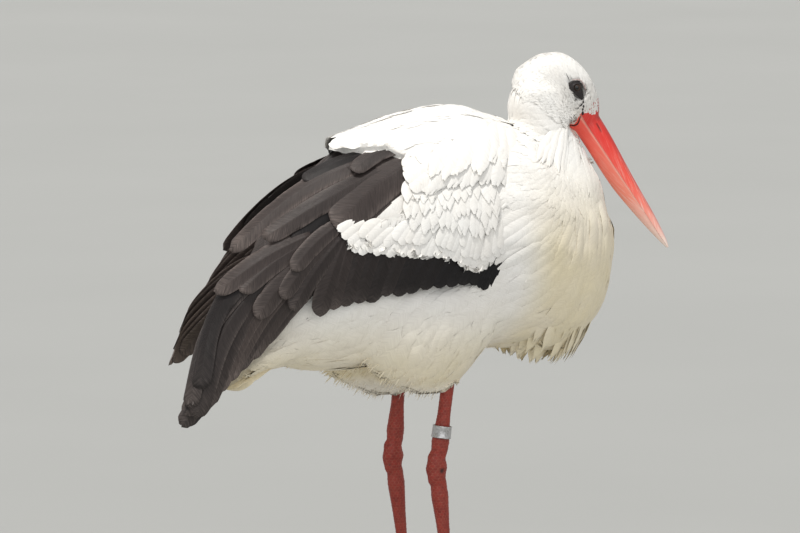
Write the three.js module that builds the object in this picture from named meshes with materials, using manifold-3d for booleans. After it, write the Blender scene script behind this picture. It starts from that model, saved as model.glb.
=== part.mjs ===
// A white stork standing with its neck drawn in and its plumage fluffed, as a life-size still model.
// Millimetres, +X towards the breast, +Y towards the bird's left, +Z up. The origin is on the floor,
// under the middle of the bounding box. Each part of the body is one closed solid in its own node.

import * as THREE from "three";
import { mergeVertices } from "three/addons/utils/BufferGeometryUtils.js";
import Module from "manifold-3d";

const wasm = await Module();
wasm.setup();

const GAP = 0.4; // between neighbouring solids
const RIGHT = -1; // the sign of Y on the bird's right side
const LEFT = 1;
const UP = new THREE.Vector3(0, 0, 1);
const degrees = THREE.MathUtils.degToRad;

const COLOURS = {
  plumage: { color: 0xf1ece2, roughness: 0.85 },
  flightFeathers: { color: 0x221d1e, roughness: 0.55 },
  bill: { color: 0xd8402c, roughness: 0.42 },
  legs: { color: 0xa33a2c, roughness: 0.6 },
  claws: { color: 0x5b3a30, roughness: 0.5 },
  eyes: { color: 0x15100e, roughness: 0.1 },
  ring: { color: 0xb9bcc0, roughness: 0.35, metalness: 1 },
};

// ---- shape helpers ----

// A smooth function through named stations: stations([[x, a, b], ...])(x) gives [a, b] at x.
function stations(rows) {
  const spline = (column, x) => {
    let i = 0;
    while (i < rows.length - 2 && x > rows[i + 1][0]) i += 1;
    const before = rows[Math.max(i - 1, 0)];
    const after = rows[Math.min(i + 2, rows.length - 1)];
    const [p, q] = [rows[i], rows[i + 1]];
    const slope = (a, b) => (b[0] === a[0] ? 0 : (b[column] - a[column]) / (b[0] - a[0]));
    const span = q[0] - p[0];
    const t = THREE.MathUtils.clamp((x - p[0]) / span, 0, 1);
    const [m0, m1] = [slope(before, q) * span, slope(p, after) * span];
    return (
      p[column] * (2 * t ** 3 - 3 * t ** 2 + 1) +
      m0 * (t ** 3 - 2 * t ** 2 + t) +
      q[column] * (3 * t ** 2 - 2 * t ** 3) +
      m1 * (t ** 3 - t ** 2)
    );
  };
  return (x) => rows[0].slice(1).map((_, k) => spline(k + 1, x));
}

function spread(from, to, count) {
  return Array.from({ length: count }, (_, i) => THREE.MathUtils.lerp(from, to, i / (count - 1)));
}

// Rises steeply from 0 at t = 0 to 1 in the middle, and falls back to 0 at t = 1.
function bulge(t) {
  return Math.sqrt(Math.max(Math.sin(Math.PI * t), 0));
}

function solidOf(geometry) {
  const bare = geometry.clone();
  bare.deleteAttribute("normal");
  bare.deleteAttribute("uv");
  const merged = mergeVertices(bare, 1e-3);
  const made = new wasm.Manifold(
    new wasm.Mesh({
      numProp: 3,
      vertProperties: new Float32Array(merged.attributes.position.array),
      triVerts: new Uint32Array(merged.index.array),
    }),
  );
  return made;
}

function geometryOf(solid) {
  const mesh = solid.getMesh();
  const geometry = new THREE.BufferGeometry();
  geometry.setAttribute("position", new THREE.BufferAttribute(mesh.vertProperties, 3));
  geometry.setIndex(new THREE.BufferAttribute(mesh.triVerts, 1));
  return geometry;
}

function closedGrid(points, rows, columns) {
  // points[row][column], closed round the columns. Rungs between the two halves close each end row.
  const vertices = points.flat();
  const faces = [];
  const at = (r, c) => r * columns + (c % columns);
  for (let r = 0; r < rows - 1; r += 1) {
    for (let c = 0; c < columns; c += 1) {
      faces.push(at(r, c), at(r, c + 1), at(r + 1, c + 1));
      faces.push(at(r, c), at(r + 1, c + 1), at(r + 1, c));
    }
  }
  for (let c = 0; c + 2 < columns - c; c += 1) {
    const [near, next, far, last] = [c, c + 1, columns - 2 - c, columns - 1 - c];
    const rungs = [[near, far, last]];
    if (next !== far) rungs.push([near, next, far]);
    for (const rung of rungs) {
      faces.push(...rung.map((column) => at(rows - 1, column)));
      faces.push(...rung.map((column) => at(0, column)).reverse());
    }
  }
  const geometry = new THREE.BufferGeometry().setFromPoints(vertices);
  geometry.setIndex(faces);
  const solid = solidOf(geometry);
  if (solid.volume() > 0) return solid;
  geometry.setIndex(faces.map((_, i) => faces[i - (i % 3) + [0, 2, 1][i % 3]]));
  return solidOf(geometry);
}

// A body of rings. Each ring is { at, across, along, power }: a superellipse on two half-axis vectors.
function loft(rings, sides = 24, grow = 0) {
  const points = rings.map(({ at, across, along, power = 2 }) =>
    Array.from({ length: sides }, (_, k) => {
      const turn = (2 * Math.PI * k) / sides;
      const bend = (value) => Math.sign(value) * Math.abs(value) ** (2 / power);
      const wide = (axis) => axis.clone().setLength(axis.length() + grow);
      return at
        .clone()
        .addScaledVector(wide(across), bend(Math.cos(turn)))
        .addScaledVector(wide(along), bend(Math.sin(turn)));
    }),
  );
  return closedGrid(points, rings.length, sides);
}

// Rings square to a path: path is a list of points and sizes gives [across Y, in plane] half-widths.
function tubeRings(path, sizes, power = 2) {
  const curve = new THREE.CatmullRomCurve3(path, false, "centripetal");
  return sizes.map(([half, deep], i) => {
    const t = i / (sizes.length - 1);
    const forward = curve.getTangentAt(t);
    const side = new THREE.Vector3(0, 1, 0).addScaledVector(forward, -forward.y).normalize();
    return {
      at: curve.getPointAt(t),
      across: side.multiplyScalar(half),
      along: new THREE.Vector3().crossVectors(forward, side).normalize().multiplyScalar(deep),
      power,
    };
  });
}

// A body of level slices between two heights. profile(z) gives [rear, front, half-width, middle Y].
function slices(profile, from, to, count, sides, power, grow = 0) {
  const rings = spread(from, to, count).map((z) => {
    const [rear, front, half, y] = profile(z);
    return {
      at: new THREE.Vector3((rear + front) / 2, y, z),
      across: new THREE.Vector3((front - rear) / 2, 0, 0),
      along: new THREE.Vector3(0, half, 0),
      power,
    };
  });
  return loft(rings, sides, grow);
}

function joined(...solids) {
  return solids.reduce((all, next) => all.add(next));
}

// ---- trunk, neck and head: one body of flesh, parted with thin cuts ----

// x: top, bottom and half-width of the trunk, without the cape of shoulder feathers.
const TRUNK = stations([
  [-205, 470, 384, 44],
  [-170, 515, 352, 64],
  [-130, 556, 346, 77],
  [-80, 592, 345, 84],
  [-30, 610, 350, 88],
  [20, 620, 356, 94],
  [60, 626, 360, 104],
  [100, 624, 360, 109],
  [140, 606, 354, 105],
  [175, 584, 350, 93],
  [205, 562, 368, 76],
  [226, 541, 398, 58],
  [240, 522, 430, 40],
  [250, 498, 462, 17],
]);
const TRUNK_ENDS = [-205, 250];
const TRUNK_ROUNDNESS = 2.15;

function trunkLoft(grow = 0) {
  const rings = spread(TRUNK_ENDS[0] - grow, TRUNK_ENDS[1] + grow, 15).map((x) => {
    const [top, bottom, half] = TRUNK(x);
    return {
      at: new THREE.Vector3(x, 0, (top + bottom) / 2),
      across: new THREE.Vector3(0, half, 0),
      along: new THREE.Vector3(0, 0, (top - bottom) / 2),
      power: TRUNK_ROUNDNESS,
    };
  });
  return loft(rings, 18, grow);
}

// The shell that a folded wing lies on. At each x it is an ellipse round the body:
// x: height of its middle, half-height, half-width.
const CLOAK = stations([
  [-335, 284, 30, 50],
  [-313, 306, 44, 54],
  [-290, 338, 80, 60],
  [-256, 398, 105, 68],
  [-200, 451, 112, 82],
  [-140, 481, 118, 94],
  [-80, 490, 122, 101],
  [-20, 496, 128, 106],
  [20, 497, 131, 107],
  [60, 497, 131, 103],
  [90, 495, 128, 92],
]);

// A point on the shell, depth below its surface, at a turn from its side (0) to its ridge (90 degrees).
function cloakPoint(x, turn, depth, side) {
  const [middle, tall, wide] = CLOAK(x);
  const y = side * (wide - depth) * Math.cos(turn);
  return new THREE.Vector3(x, y, middle + (tall - depth) * Math.sin(turn));
}

function cloakTurn(x, z) {
  const [middle, tall] = CLOAK(x);
  return Math.asin(THREE.MathUtils.clamp((z - middle) / tall, -0.97, 0.97));
}

// The cape of white shoulder feathers over the back. x: thickness, and the turn at its lower edge.
const CAPE = stations([
  [-112, 0.5, 85],
  [-106, 2, 74],
  [-96, 4, 65],
  [-60, 7, 58],
  [-44, 9, 46],
  [-20, 10, 38],
  [20, 13, 38],
  [60, 12, 37],
  [112, 1, 42],
]);
const CAPE_ENDS = [-112, 112];
const CAPE_DEPTH = 16; // how far the cape's underside reaches below the shell
const CAPE_EDGE = 1.5; // its thickness at the lower edge

function cape(grow = 0) {
  const sides = 7;
  const rings = spread(CAPE_ENDS[0] - grow, CAPE_ENDS[1] + grow, 10).map((x) => {
    const [thick, edge] = CAPE(x);
    const low = degrees(edge) - grow / CLOAK(x)[1];
    const turns = spread(low, Math.PI - low, sides);
    const swell = (turn) => (thick - CAPE_EDGE) * bulge((turn - low) / (Math.PI - 2 * low));
    const arc = (depth) => turns.map((turn) => cloakPoint(x, turn, depth(turn), RIGHT));
    const outer = arc((turn) => -CAPE_EDGE - swell(turn) - grow);
    return [...outer, ...arc(() => CAPE_DEPTH + grow).reverse()];
  });
  return closedGrid(rings, rings.length, 2 * sides);
}

// The shaggy plumes that hang from the lower breast. Each is a flat spike with its point down.
const PLUMES = {
  rows: [
    { x: 200, tip: 350, half: 26, count: 3 },
    { x: 182, tip: 333, half: 46, count: 4 },
    { x: 152, tip: 336, half: 52, count: 4 },
  ],
  root: 404,
  radius: 19,
  lean: 15,
  uneven: 6,
};

function plumes() {
  const spikes = PLUMES.rows.flatMap(({ x, tip, half, count }) =>
    spread(-half, half, count).map((y, k) => {
      const low = tip + PLUMES.uneven * (k % 2) + Math.abs(y) * 0.2;
      const root = new THREE.Vector3(x, y * 0.85, PLUMES.root);
      const point = new THREE.Vector3(x - PLUMES.lean, y, low);
      const middle = root.clone().lerp(point, 0.6);
      const r = PLUMES.radius;
      return loft(tubeRings([root, middle, point], [[r, r], [r * 0.8, r * 0.7], [1.2, 1.2]]), 5);
    }),
  );
  return joined(...spikes);
}

// The bill and head share a frame: X along the mouth line to the bill's tip, Z towards the crown.
const HEAD_FRAME = new THREE.Group();
HEAD_FRAME.position.set(211, -15, 613);
HEAD_FRAME.rotation.set(0, degrees(56), degrees(-20), "ZYX");
HEAD_FRAME.updateMatrix();

function inHeadFrame(solid) {
  return solid.transform([...HEAD_FRAME.matrix.elements]);
}

// x: crown, throat and half-width of the head, in the head's frame.
const HEAD = stations([
  [-97, 2, -32, 10],
  [-90, 18, -44, 22],
  [-72, 31, -45, 28],
  [-48, 36, -35, 26.5],
  [-26, 34, -25, 21.5],
  [-10, 28, -19.5, 16.5],
  [2, 20, -14.5, 12.5],
]);
const HEAD_ENDS = [-97, 2];

function head() {
  const rings = spread(...HEAD_ENDS, 10).map((x) => {
    const [crown, throat, half] = HEAD(x);
    return {
      at: new THREE.Vector3(x, 0, (crown + throat) / 2),
      across: new THREE.Vector3(0, half, 0),
      along: new THREE.Vector3(0, 0, (crown - throat) / 2),
      power: 2.1,
    };
  });
  return inHeadFrame(loft(rings, 16));
}

// The neck is drawn down into the chest. z: rear, front, half-width and middle Y of its slices.
const NECK = stations([
  [500, 104, 238, 76, 0],
  [545, 110, 232, 68, 0],
  [570, 116, 222, 58, -1],
  [590, 123, 212, 49, -3],
  [608, 126, 205, 42, -4],
  [625, 121, 200, 38, -6],
  [640, 118, 192, 32, -8],
  [655, 121, 180, 26, -10],
  [664, 127, 170, 19, -11],
  [671, 137, 158, 9, -12],
]);
const NECK_ENDS = [500, 671];

function neck() {
  return slices(NECK, ...NECK_ENDS, 11, 16, 2.1);
}

// ---- bill and eyes ----

// x: height over and depth under the mouth line, and half-width, in the head's frame.
const BILL = stations([
  [-6, 19, 13.5, 12.5],
  [0, 19, 13.5, 12.3],
  [30, 17.6, 13.8, 11],
  [60, 14.6, 14.6, 9.6],
  [84, 12.2, 14.2, 8.4],
  [105, 10.6, 12.2, 7.2],
  [138, 8, 8, 5.2],
  [165, 4.4, 3.4, 2.8],
  [175, 1.6, 1.1, 1.2],
]);
const BILL_ROOT = -6;
const BILL_TIP = 175;

function mandible(upper, grow = 0) {
  const stepsAlong = spread(BILL_ROOT, BILL_TIP, 10);
  const sides = 9;
  const rings = stepsAlong.map((x) => {
    const [over, under, half] = BILL(x).map((size) => size + grow);
    const way = upper ? 1 : -1;
    const edge = way * (GAP / 2 - grow);
    const ridge = way * (GAP / 2 + (upper ? over : under));
    return Array.from({ length: sides + 1 }, (_, k) => {
      const turn = (Math.PI * k) / sides;
      const reach = Math.sin(turn) ** (upper ? 1.0 : 0.8);
      const across = half * Math.sign(Math.cos(turn)) * Math.abs(Math.cos(turn)) ** 0.8;
      return new THREE.Vector3(x, across, THREE.MathUtils.lerp(edge, ridge, reach));
    });
  });
  rings[0].forEach((p) => p.setX(BILL_ROOT - grow));
  return inHeadFrame(closedGrid(rings, rings.length, sides + 1));
}

const EYE = { x: -36.5, side: 16.8, z: 14.6, radius: 8.6 };

function eye(side, grow = 0) {
  const ball = new THREE.SphereGeometry(EYE.radius + grow, 12, 7);
  ball.translate(EYE.x, side * EYE.side, EYE.z);
  return inHeadFrame(solidOf(ball));
}

// ---- wings ----

// Feathers side by side on the shell. roots and tips are [x, z] of the borders between feathers, from
// the topmost down. Each feather lies over the next one, so its lower border shows as a step.
const OVERLAP = 1.1;

function fan({ roots, tips, depth, thick, notch }, side) {
  const borders = [];
  for (let i = 0; i < roots.length - 1; i += 1) borders.push(i + 0.02, i + 0.5, i + 0.98);
  const lerp = (list, q, k) => {
    const i = Math.min(Math.floor(q), list.length - 2);
    return THREE.MathUtils.lerp(list[i][k], list[i + 1][k], q - i);
  };
  const steps = spread(0, 1, 5);
  const feather = (q, extra) => {
    const f = q - Math.floor(q);
    const reach = 1 - notch * Math.abs(2 * f - 1) ** 2;
    const [x0, z0, x1, z1] = [roots, tips].flatMap((list) => [lerp(list, q, 0), lerp(list, q, 1)]);
    return steps.map((s) => {
      const x = THREE.MathUtils.lerp(x0, x1, s * reach);
      const z = THREE.MathUtils.lerp(z0, z1, s * reach);
      return cloakPoint(x, cloakTurn(x, z), depth + OVERLAP * (1 - f) + extra, side);
    });
  };
  const outer = borders.map((q) => feather(q, 0));
  const inner = borders.map((q) => feather(q, thick));
  const rows = steps.map((_, k) => [
    ...outer.map((line) => line[k]),
    ...inner.map((line) => line[k]).reverse(),
  ]);
  return closedGrid(rows, rows.length, rows[0].length);
}

// The wings' layers from the outside in: coverts, tertials, secondaries, primaries.
const TERTIALS = { depth: 0.6, thick: 2.2, notch: 0.1 };
const SECONDARIES = { depth: 6.2, thick: 2.2, notch: 0.08 };
const PRIMARIES = { depth: 13, thick: 2.2, notch: 0.1 };
const FANS = {
  right: {
    tertials: {
      roots: [[-24, 601], [-32, 591], [-39, 581], [-44, 572], [-47, 564], [-49, 557]],
      tips: [[-216, 522], [-252, 498], [-246, 484], [-196, 496], [-150, 505], [-112, 520]],
    },
    secondaries: {
      roots: [
        [-134, 516], [-134, 508], [-134, 498], [-134, 488], [-134, 478], [-134, 466], [-134, 454],
      ],
      tips: [
        [-250, 461], [-276, 436], [-291, 396], [-288, 352], [-278, 336], [-258, 352], [-180, 412],
      ],
    },
    primaries: {
      roots: [[-190, 446], [-190, 438], [-188, 430], [-186, 424]],
      tips: [[-304, 352], [-317, 304], [-309, 290], [-284, 310]],
    },
  },
  left: {
    tertials: {
      roots: [[-24, 599], [-30, 589], [-36, 578], [-40, 569], [-43, 561], [-45, 555]],
      tips: [[-176, 500], [-202, 478], [-198, 468], [-168, 486], [-138, 501], [-110, 515]],
    },
    secondaries: {
      roots: [
        [-134, 496], [-134, 488], [-134, 480], [-134, 472], [-134, 464], [-134, 456], [-134, 444],
      ],
      tips: [
        [-198, 462], [-224, 440], [-243, 413], [-253, 391], [-247, 379], [-225, 386], [-192, 403],
      ],
    },
    primaries: {
      roots: [[-160, 456], [-160, 448], [-160, 440], [-160, 432]],
      tips: [[-256, 398], [-288, 372], [-298, 354], [-268, 362]],
    },
  },
};

// Inner tertials lie across the rump, a little above the trunk.
const RUMP = { from: -70, to: -190, lift: 8, thick: 2.2, side: 18, feathers: 3, notch: 9 };

function rumpFan(side) {
  const borders = [];
  for (let i = 0; i < RUMP.feathers; i += 1) borders.push(i + 0.02, i + 0.5, i + 0.98);
  const steps = spread(0, 1, 5);
  const line = (q, raise) =>
    steps.map((s) => {
      const f = q - Math.floor(q);
      const tip = RUMP.to + RUMP.notch * (Math.floor(q) * 1.5 + (2 * f - 1) ** 2);
      const x = THREE.MathUtils.lerp(RUMP.from, tip, s);
      const [top, bottom, half] = TRUNK(x);
      const turn = degrees(THREE.MathUtils.lerp(89.6, RUMP.side, q / RUMP.feathers));
      const out = RUMP.lift + OVERLAP * (1 - f) + raise;
      const y = side * Math.max((half + out) * Math.cos(turn), GAP);
      const tall = (top - bottom) / 2;
      return new THREE.Vector3(x, y, (top + bottom) / 2 + (tall + out) * Math.sin(turn));
    });
  const outer = borders.map((q) => line(q, RUMP.thick));
  const inner = borders.map((q) => line(q, 0)).reverse();
  const rows = steps.map((_, k) => [...outer, ...inner].map((each) => each[k]));
  return closedGrid(rows, rows.length, rows[0].length);
}

// The arm with its coverts: white above, and black along the lower edge.
// x: heights of the arm's upper edge, of the border between white and black, and of the lower edge;
// then the thickness.
const ARM = stations([
  [-156, 490, 489, 430, 3.2],
  [-136, 500, 497, 430, 3.4],
  [-108, 510, 496, 433, 3.8],
  [-80, 527, 487, 436, 6],
  [-50, 548, 485, 439, 8],
  [-20, 582, 481, 441, 10],
  [18, 585, 464, 438, 10],
  [52, 575, 467, 439, 9],
  [86, 548, 480, 466, 3],
]);
const ARM_RIM = 1.4;
const COVERT = { width: 27, scallop: 4 }; // the coverts whose tips make each lower edge
const WHITE_ENDS = [-10, 6]; // in half coverts from x = 0
const BLACK_ENDS = [-12, 4];

function scallop(x) {
  return COVERT.scallop * Math.abs(Math.sin((Math.PI * x) / COVERT.width));
}

// A strip of the arm. edges(x) gives the heights of its upper and lower edge and its thickness.
function armStrip(side, [from, to], edges) {
  const sides = 5;
  const rows = spread(from, to, to - from + 1).map((half) => {
    const x = (half * COVERT.width) / 2;
    const [upper, lower, thick] = edges(x);
    const [low, high] = [cloakTurn(x, lower - scallop(x)), cloakTurn(x, upper)];
    const turns = spread(low, high, sides);
    const under = (turn) => ARM_RIM + (thick - ARM_RIM) * bulge((turn - low) / (high - low));
    const arc = (depth) => turns.map((turn) => cloakPoint(x, turn, depth(turn), side));
    return [...arc(() => GAP), ...arc((turn) => GAP + under(turn)).reverse()];
  });
  return closedGrid(rows, rows.length, 2 * sides);
}

function whiteArm(side) {
  return armStrip(side, WHITE_ENDS, (x) => {
    const [upper, border, , thick] = ARM(x);
    return [upper, border, thick];
  });
}

function blackCoverts(side) {
  return armStrip(side, BLACK_ENDS, (x) => {
    const [, border, lower, thick] = ARM(x);
    return [border - scallop(x) - 2 * GAP, lower, Math.min(thick, 4)];
  });
}

function joinedCut(solid, ...cutters) {
  const cut = cutters.reduce((left, next) => left.subtract(next), solid);
  const pieces = cut.decompose().sort((a, b) => b.volume() - a.volume());
  return pieces[0];
}

// ---- tail ----

const TAIL = stations([
  [-268, 330, 1.2, 20],
  [-262, 332, 2.2, 32],
  [-240, 346, 7, 42],
  [-210, 368, 20, 48],
  [-170, 388, 34, 50],
  [-130, 402, 42, 46],
]);

function tail() {
  const rings = spread(-268, -130, 8).map((x) => {
    const [middle, tall, half] = TAIL(x);
    return {
      at: new THREE.Vector3(x, 0, middle),
      across: new THREE.Vector3(0, half, 0),
      along: new THREE.Vector3(0, 0, tall),
    };
  });
  return loft(rings, 14);
}

// ---- legs ----

const LEGS = [
  {
    name: "right",
    side: RIGHT,
    ankle: [5, -45, 230],
    knee: [22, -46, 352],
    foot: [29, -47, 14],
    hem: 318,
  },
  {
    name: "left",
    side: LEFT,
    ankle: [-5, 45, 233],
    knee: [6, 46, 352],
    foot: [21, 47, 14],
    hem: 306,
  },
];

// The feathered thighs, as slices at their height over the hem: rear and front from the ankle, and
// half-width.
const THIGH = stations([
  [0, -27, 10, 8],
  [8, -54, 20, 20],
  [30, -84, 41, 36],
  [52, -98, 60, 47],
  [68, -103, 73, 49],
  [96, -102, 76, 49],
  [116, -92, 68, 45],
]);
const THIGH_TALL = 116;

function thigh(leg, grow = 0) {
  const profile = (z) => {
    const [rear, front, half] = THIGH(z - leg.hem);
    return [leg.ankle[0] + rear, leg.ankle[0] + front, half, leg.ankle[1]];
  };
  return slices(profile, leg.hem, leg.hem + THIGH_TALL, 6, 16, 2.1, grow);
}

const ANKLE = { long: 12.6, wide: 9.4, tall: 26 };
const SHIN = { long: 7.6, wide: 7 };
const TARSUS = { long: 6.4, wide: 5.2 };

function shank(leg) {
  const [ankle, knee, foot] = [leg.ankle, leg.knee, leg.foot].map((p) => new THREE.Vector3(...p));
  const shin = tubeRings(
    [knee, knee.clone().lerp(ankle, 0.6), ankle],
    [[SHIN.wide, SHIN.long], [SHIN.wide, SHIN.long], [SHIN.wide, SHIN.long], [8.6, 10.6], [6, 8]],
  );
  const tarsus = tubeRings(
    [ankle, ankle.clone().lerp(foot, 0.5), foot],
    [
      [6, 8], [8, 10.4], [6.2, 8], [TARSUS.wide, TARSUS.long], [TARSUS.wide, TARSUS.long],
      [TARSUS.wide, TARSUS.long], [6.4, 7.4], [8, 9.6],
    ],
  );
  const joint = new THREE.SphereGeometry(1, 10, 6);
  joint.scale(ANKLE.long, ANKLE.wide, ANKLE.tall);
  joint.translate(ankle.x - 0.6, ankle.y, ankle.z);
  return joined(loft(shin, 10), loft(tarsus, 10), solidOf(joint));
}

// length and heading of each toe, with 0 straight ahead and positive towards the bird's middle.
const TOES = [
  { name: "middle", length: 76, heading: 2, thick: 6.6 },
  { name: "inner", length: 58, heading: 33, thick: 6 },
  { name: "outer", length: 64, heading: -31, thick: 6.2 },
  { name: "hind", length: 32, heading: 168, thick: 5.4 },
];
const TOE_TAPER = 0.3; // share of its thickness that a toe loses towards its tip
const SOLE = 0.76; // height of a toe's middle over the floor, as a share of its thickness
const CLAW = { length: 11, radius: 3.1 };
const WEB = { reach: 24, thick: 3 };

function toeLine(leg, toe) {
  const turn = degrees(toe.heading) * -leg.side;
  const ahead = new THREE.Vector3(Math.cos(turn), Math.sin(turn), 0);
  const start = new THREE.Vector3(leg.foot[0], leg.foot[1], SOLE * toe.thick);
  return { ahead, start, point: (s) => start.clone().addScaledVector(ahead, s) };
}

function toeSolid(leg, toe) {
  const { ahead, point } = toeLine(leg, toe);
  const side = new THREE.Vector3().crossVectors(UP, ahead);
  const rings = spread(0, toe.length, 6).map((s) => {
    const share = s / toe.length;
    const r = toe.thick * (1 - TOE_TAPER * share) * (share > 0.99 ? 0.66 : 1);
    return {
      at: point(s).setZ(SOLE * toe.thick * (1 - TOE_TAPER * share)),
      across: side.clone().multiplyScalar(r),
      along: UP.clone().multiplyScalar(r * 0.95),
    };
  });
  return loft(rings, 6);
}

function web(leg, toeA, toeB) {
  const [a, b] = [toeLine(leg, toeA), toeLine(leg, toeB)];
  const flat = (p, z) => new THREE.Vector3(p.x, p.y, z);
  const corners = [a.start, a.point(WEB.reach), b.point(WEB.reach)];
  const middle = corners[1].clone().lerp(corners[2], 0.5).lerp(corners[0], 0.3);
  const outline = [corners[0], corners[1], middle, corners[2]];
  const rows = [1.2, 1.2 + WEB.thick].map((z) => outline.map((p) => flat(p, z)));
  return closedGrid(rows, 2, outline.length);
}

function foot(leg) {
  const ball = new THREE.SphereGeometry(1, 8, 5);
  ball.scale(10, 9, 11);
  ball.translate(leg.foot[0], leg.foot[1], 10);
  const webs = [web(leg, TOES[0], TOES[1]), web(leg, TOES[0], TOES[2])];
  return joined(solidOf(ball), ...TOES.map((toe) => toeSolid(leg, toe)), ...webs);
}

function claw(leg, toe) {
  const { ahead, point } = toeLine(leg, toe);
  const path = [0, 0.5, 1].map((s) => {
    const p = point(toe.length + GAP + 0.2 + s * CLAW.length);
    p.z = CLAW.radius + 0.2 - 1.6 * s * s;
    return p;
  });
  const r = CLAW.radius;
  const rings = tubeRings(path, [[r, r], [r * 0.96, r * 0.9], [r * 0.7, r * 0.6], [0.9, 0.8]]);
  const side = new THREE.Vector3().crossVectors(UP, ahead);
  rings.forEach((ring) => ring.across.copy(side.clone().setLength(ring.across.length())));
  rings.forEach((ring) => ring.along.copy(UP.clone().setLength(ring.along.length())));
  return loft(rings, 6).trimByPlane([0, 0, 1], 0.2);
}

// ---- leg ring ----

const RING = { outer: 11.2, inner: 10.2, height: 14, z: 272 };

function legRing(leg) {
  const share = (RING.z - leg.ankle[2]) / (leg.knee[2] - leg.ankle[2]);
  const at = (k) => THREE.MathUtils.lerp(leg.ankle[k], leg.knee[k], share);
  const half = RING.height / 2;
  const profile = [
    [RING.inner, -half], [RING.outer, -half], [RING.outer, half], [RING.inner, half],
    [RING.inner, -half],
  ].map((p) => new THREE.Vector2(...p));
  const band = new THREE.LatheGeometry(profile, 20);
  band.rotateX(Math.PI / 2);
  band.rotateY(Math.atan2(leg.knee[0] - leg.ankle[0], leg.knee[2] - leg.ankle[2]));
  band.translate(at(0), at(1), RING.z);
  const solid = solidOf(band);
  return solid.volume() > 0 ? solid : null;
}

// ---- assembly ----

const stork = new THREE.Group();
const CENTRE_X = 4; // brings the middle of the bird's length over the origin

function place(name, whole, finish) {
  const solid = whole.translate([CENTRE_X, 0, 0]);
  const material = new THREE.MeshStandardMaterial({ metalness: 0, ...COLOURS[finish] });
  const mesh = new THREE.Mesh(geometryOf(solid), material);
  mesh.name = name;
  stork.add(mesh);
}

// The cut between neck and trunk runs from the nape's foot down to the throat's foot.
const NECK_CUT = { normal: new THREE.Vector3(0.4, 0, 0.917), through: new THREE.Vector3(133, 0, 606) };
const HEAD_CUT = { normal: new THREE.Vector3(0.62, -0.2, 0.76), through: new THREE.Vector3(158, -8, 640) };

function above(solid, { normal, through }) {
  const n = normal.clone().normalize();
  return solid.trimByPlane(n.toArray(), n.dot(through) + GAP / 2);
}

function below(solid, { normal, through }) {
  const n = normal.clone().normalize().negate();
  return solid.trimByPlane(n.toArray(), n.dot(through) + GAP / 2);
}

const thighs = LEGS.map(thigh);
const trunkBody = joined(trunkLoft(), cape(), plumes());
const flesh = joined(trunkBody, neck(), head());
const eyes = { right: eye(RIGHT), left: eye(LEFT) };
const sockets = joined(eye(RIGHT, GAP), eye(LEFT, GAP), mandible(true, GAP), mandible(false, GAP));
const headWhole = above(above(flesh, NECK_CUT), HEAD_CUT).subtract(sockets);
const neckWhole = below(above(flesh, NECK_CUT), HEAD_CUT).subtract(sockets);
const trunkWhole = below(flesh, NECK_CUT).subtract(sockets);

place("trunk", joinedCut(trunkWhole), "plumage");
place("neck", joinedCut(neckWhole), "plumage");
place("head", joinedCut(headWhole), "plumage");
place("bill_upper", mandible(true), "bill");
place("bill_lower", mandible(false), "bill");
place("eye_right", eyes.right, "eyes");
place("eye_left", eyes.left, "eyes");

const bodyGrown = joined(trunkLoft(GAP), cape(GAP), ...LEGS.map((leg) => thigh(leg, GAP)));
const WINGS = { right: RIGHT, left: LEFT };
for (const [name, side] of Object.entries(WINGS)) {
  const vanes = FANS[name];
  const tertials = fan({ ...TERTIALS, ...vanes.tertials }, side);
  const secondaries = fan({ ...SECONDARIES, ...vanes.secondaries }, side);
  const primaries = fan({ ...PRIMARIES, ...vanes.primaries }, side);
  place(`wing_${name}_arm`, joinedCut(whiteArm(side), bodyGrown), "plumage");
  place(`wing_${name}_coverts`, joinedCut(blackCoverts(side), bodyGrown), "flightFeathers");
  place(`wing_${name}_tertials`, joinedCut(tertials, bodyGrown), "flightFeathers");
  place(`wing_${name}_secondaries`, joinedCut(secondaries, bodyGrown), "flightFeathers");
  place(`wing_${name}_primaries`, joinedCut(primaries, bodyGrown), "flightFeathers");
  place(`wing_${name}_inner_tertials`, joinedCut(rumpFan(side), bodyGrown), "flightFeathers");
}
place("tail", joinedCut(tail(), trunkLoft(GAP)), "plumage");

for (const [i, leg] of LEGS.entries()) {
  const bare = joined(shank(leg), foot(leg)).trimByPlane([0, 0, 1], 0);
  const cutAt = (z) => ({ normal: UP, through: new THREE.Vector3(0, 0, z) });
  const ankle = cutAt(leg.ankle[2]);
  const heel = cutAt(24);
  const feathers = thighs[i].subtract(trunkLoft(GAP)).subtract(shank(leg));
  place(`thigh_${leg.name}`, joinedCut(feathers), "plumage");
  place(`shin_${leg.name}`, joinedCut(above(bare, ankle)), "legs");
  place(`tarsus_${leg.name}`, joinedCut(below(above(bare, heel), ankle)), "legs");
  place(`foot_${leg.name}`, joinedCut(below(bare, heel)), "legs");
  for (const toe of TOES) place(`claw_${leg.name}_${toe.name}`, claw(leg, toe), "claws");
}
place("leg_ring", legRing(LEGS[0]), "ring");

export default stork;
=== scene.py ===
"""The looks of a life-size white stork: skin, feathers, bill, eyes, legs and ring.

Lengths are in millimetres until a mesh is made.
+X points towards the breast, and +Y towards the bird's left.
"""

import math

import bpy
import numpy as np
from mathutils import Matrix, Vector
from mathutils.bvhtree import BVHTree


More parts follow.
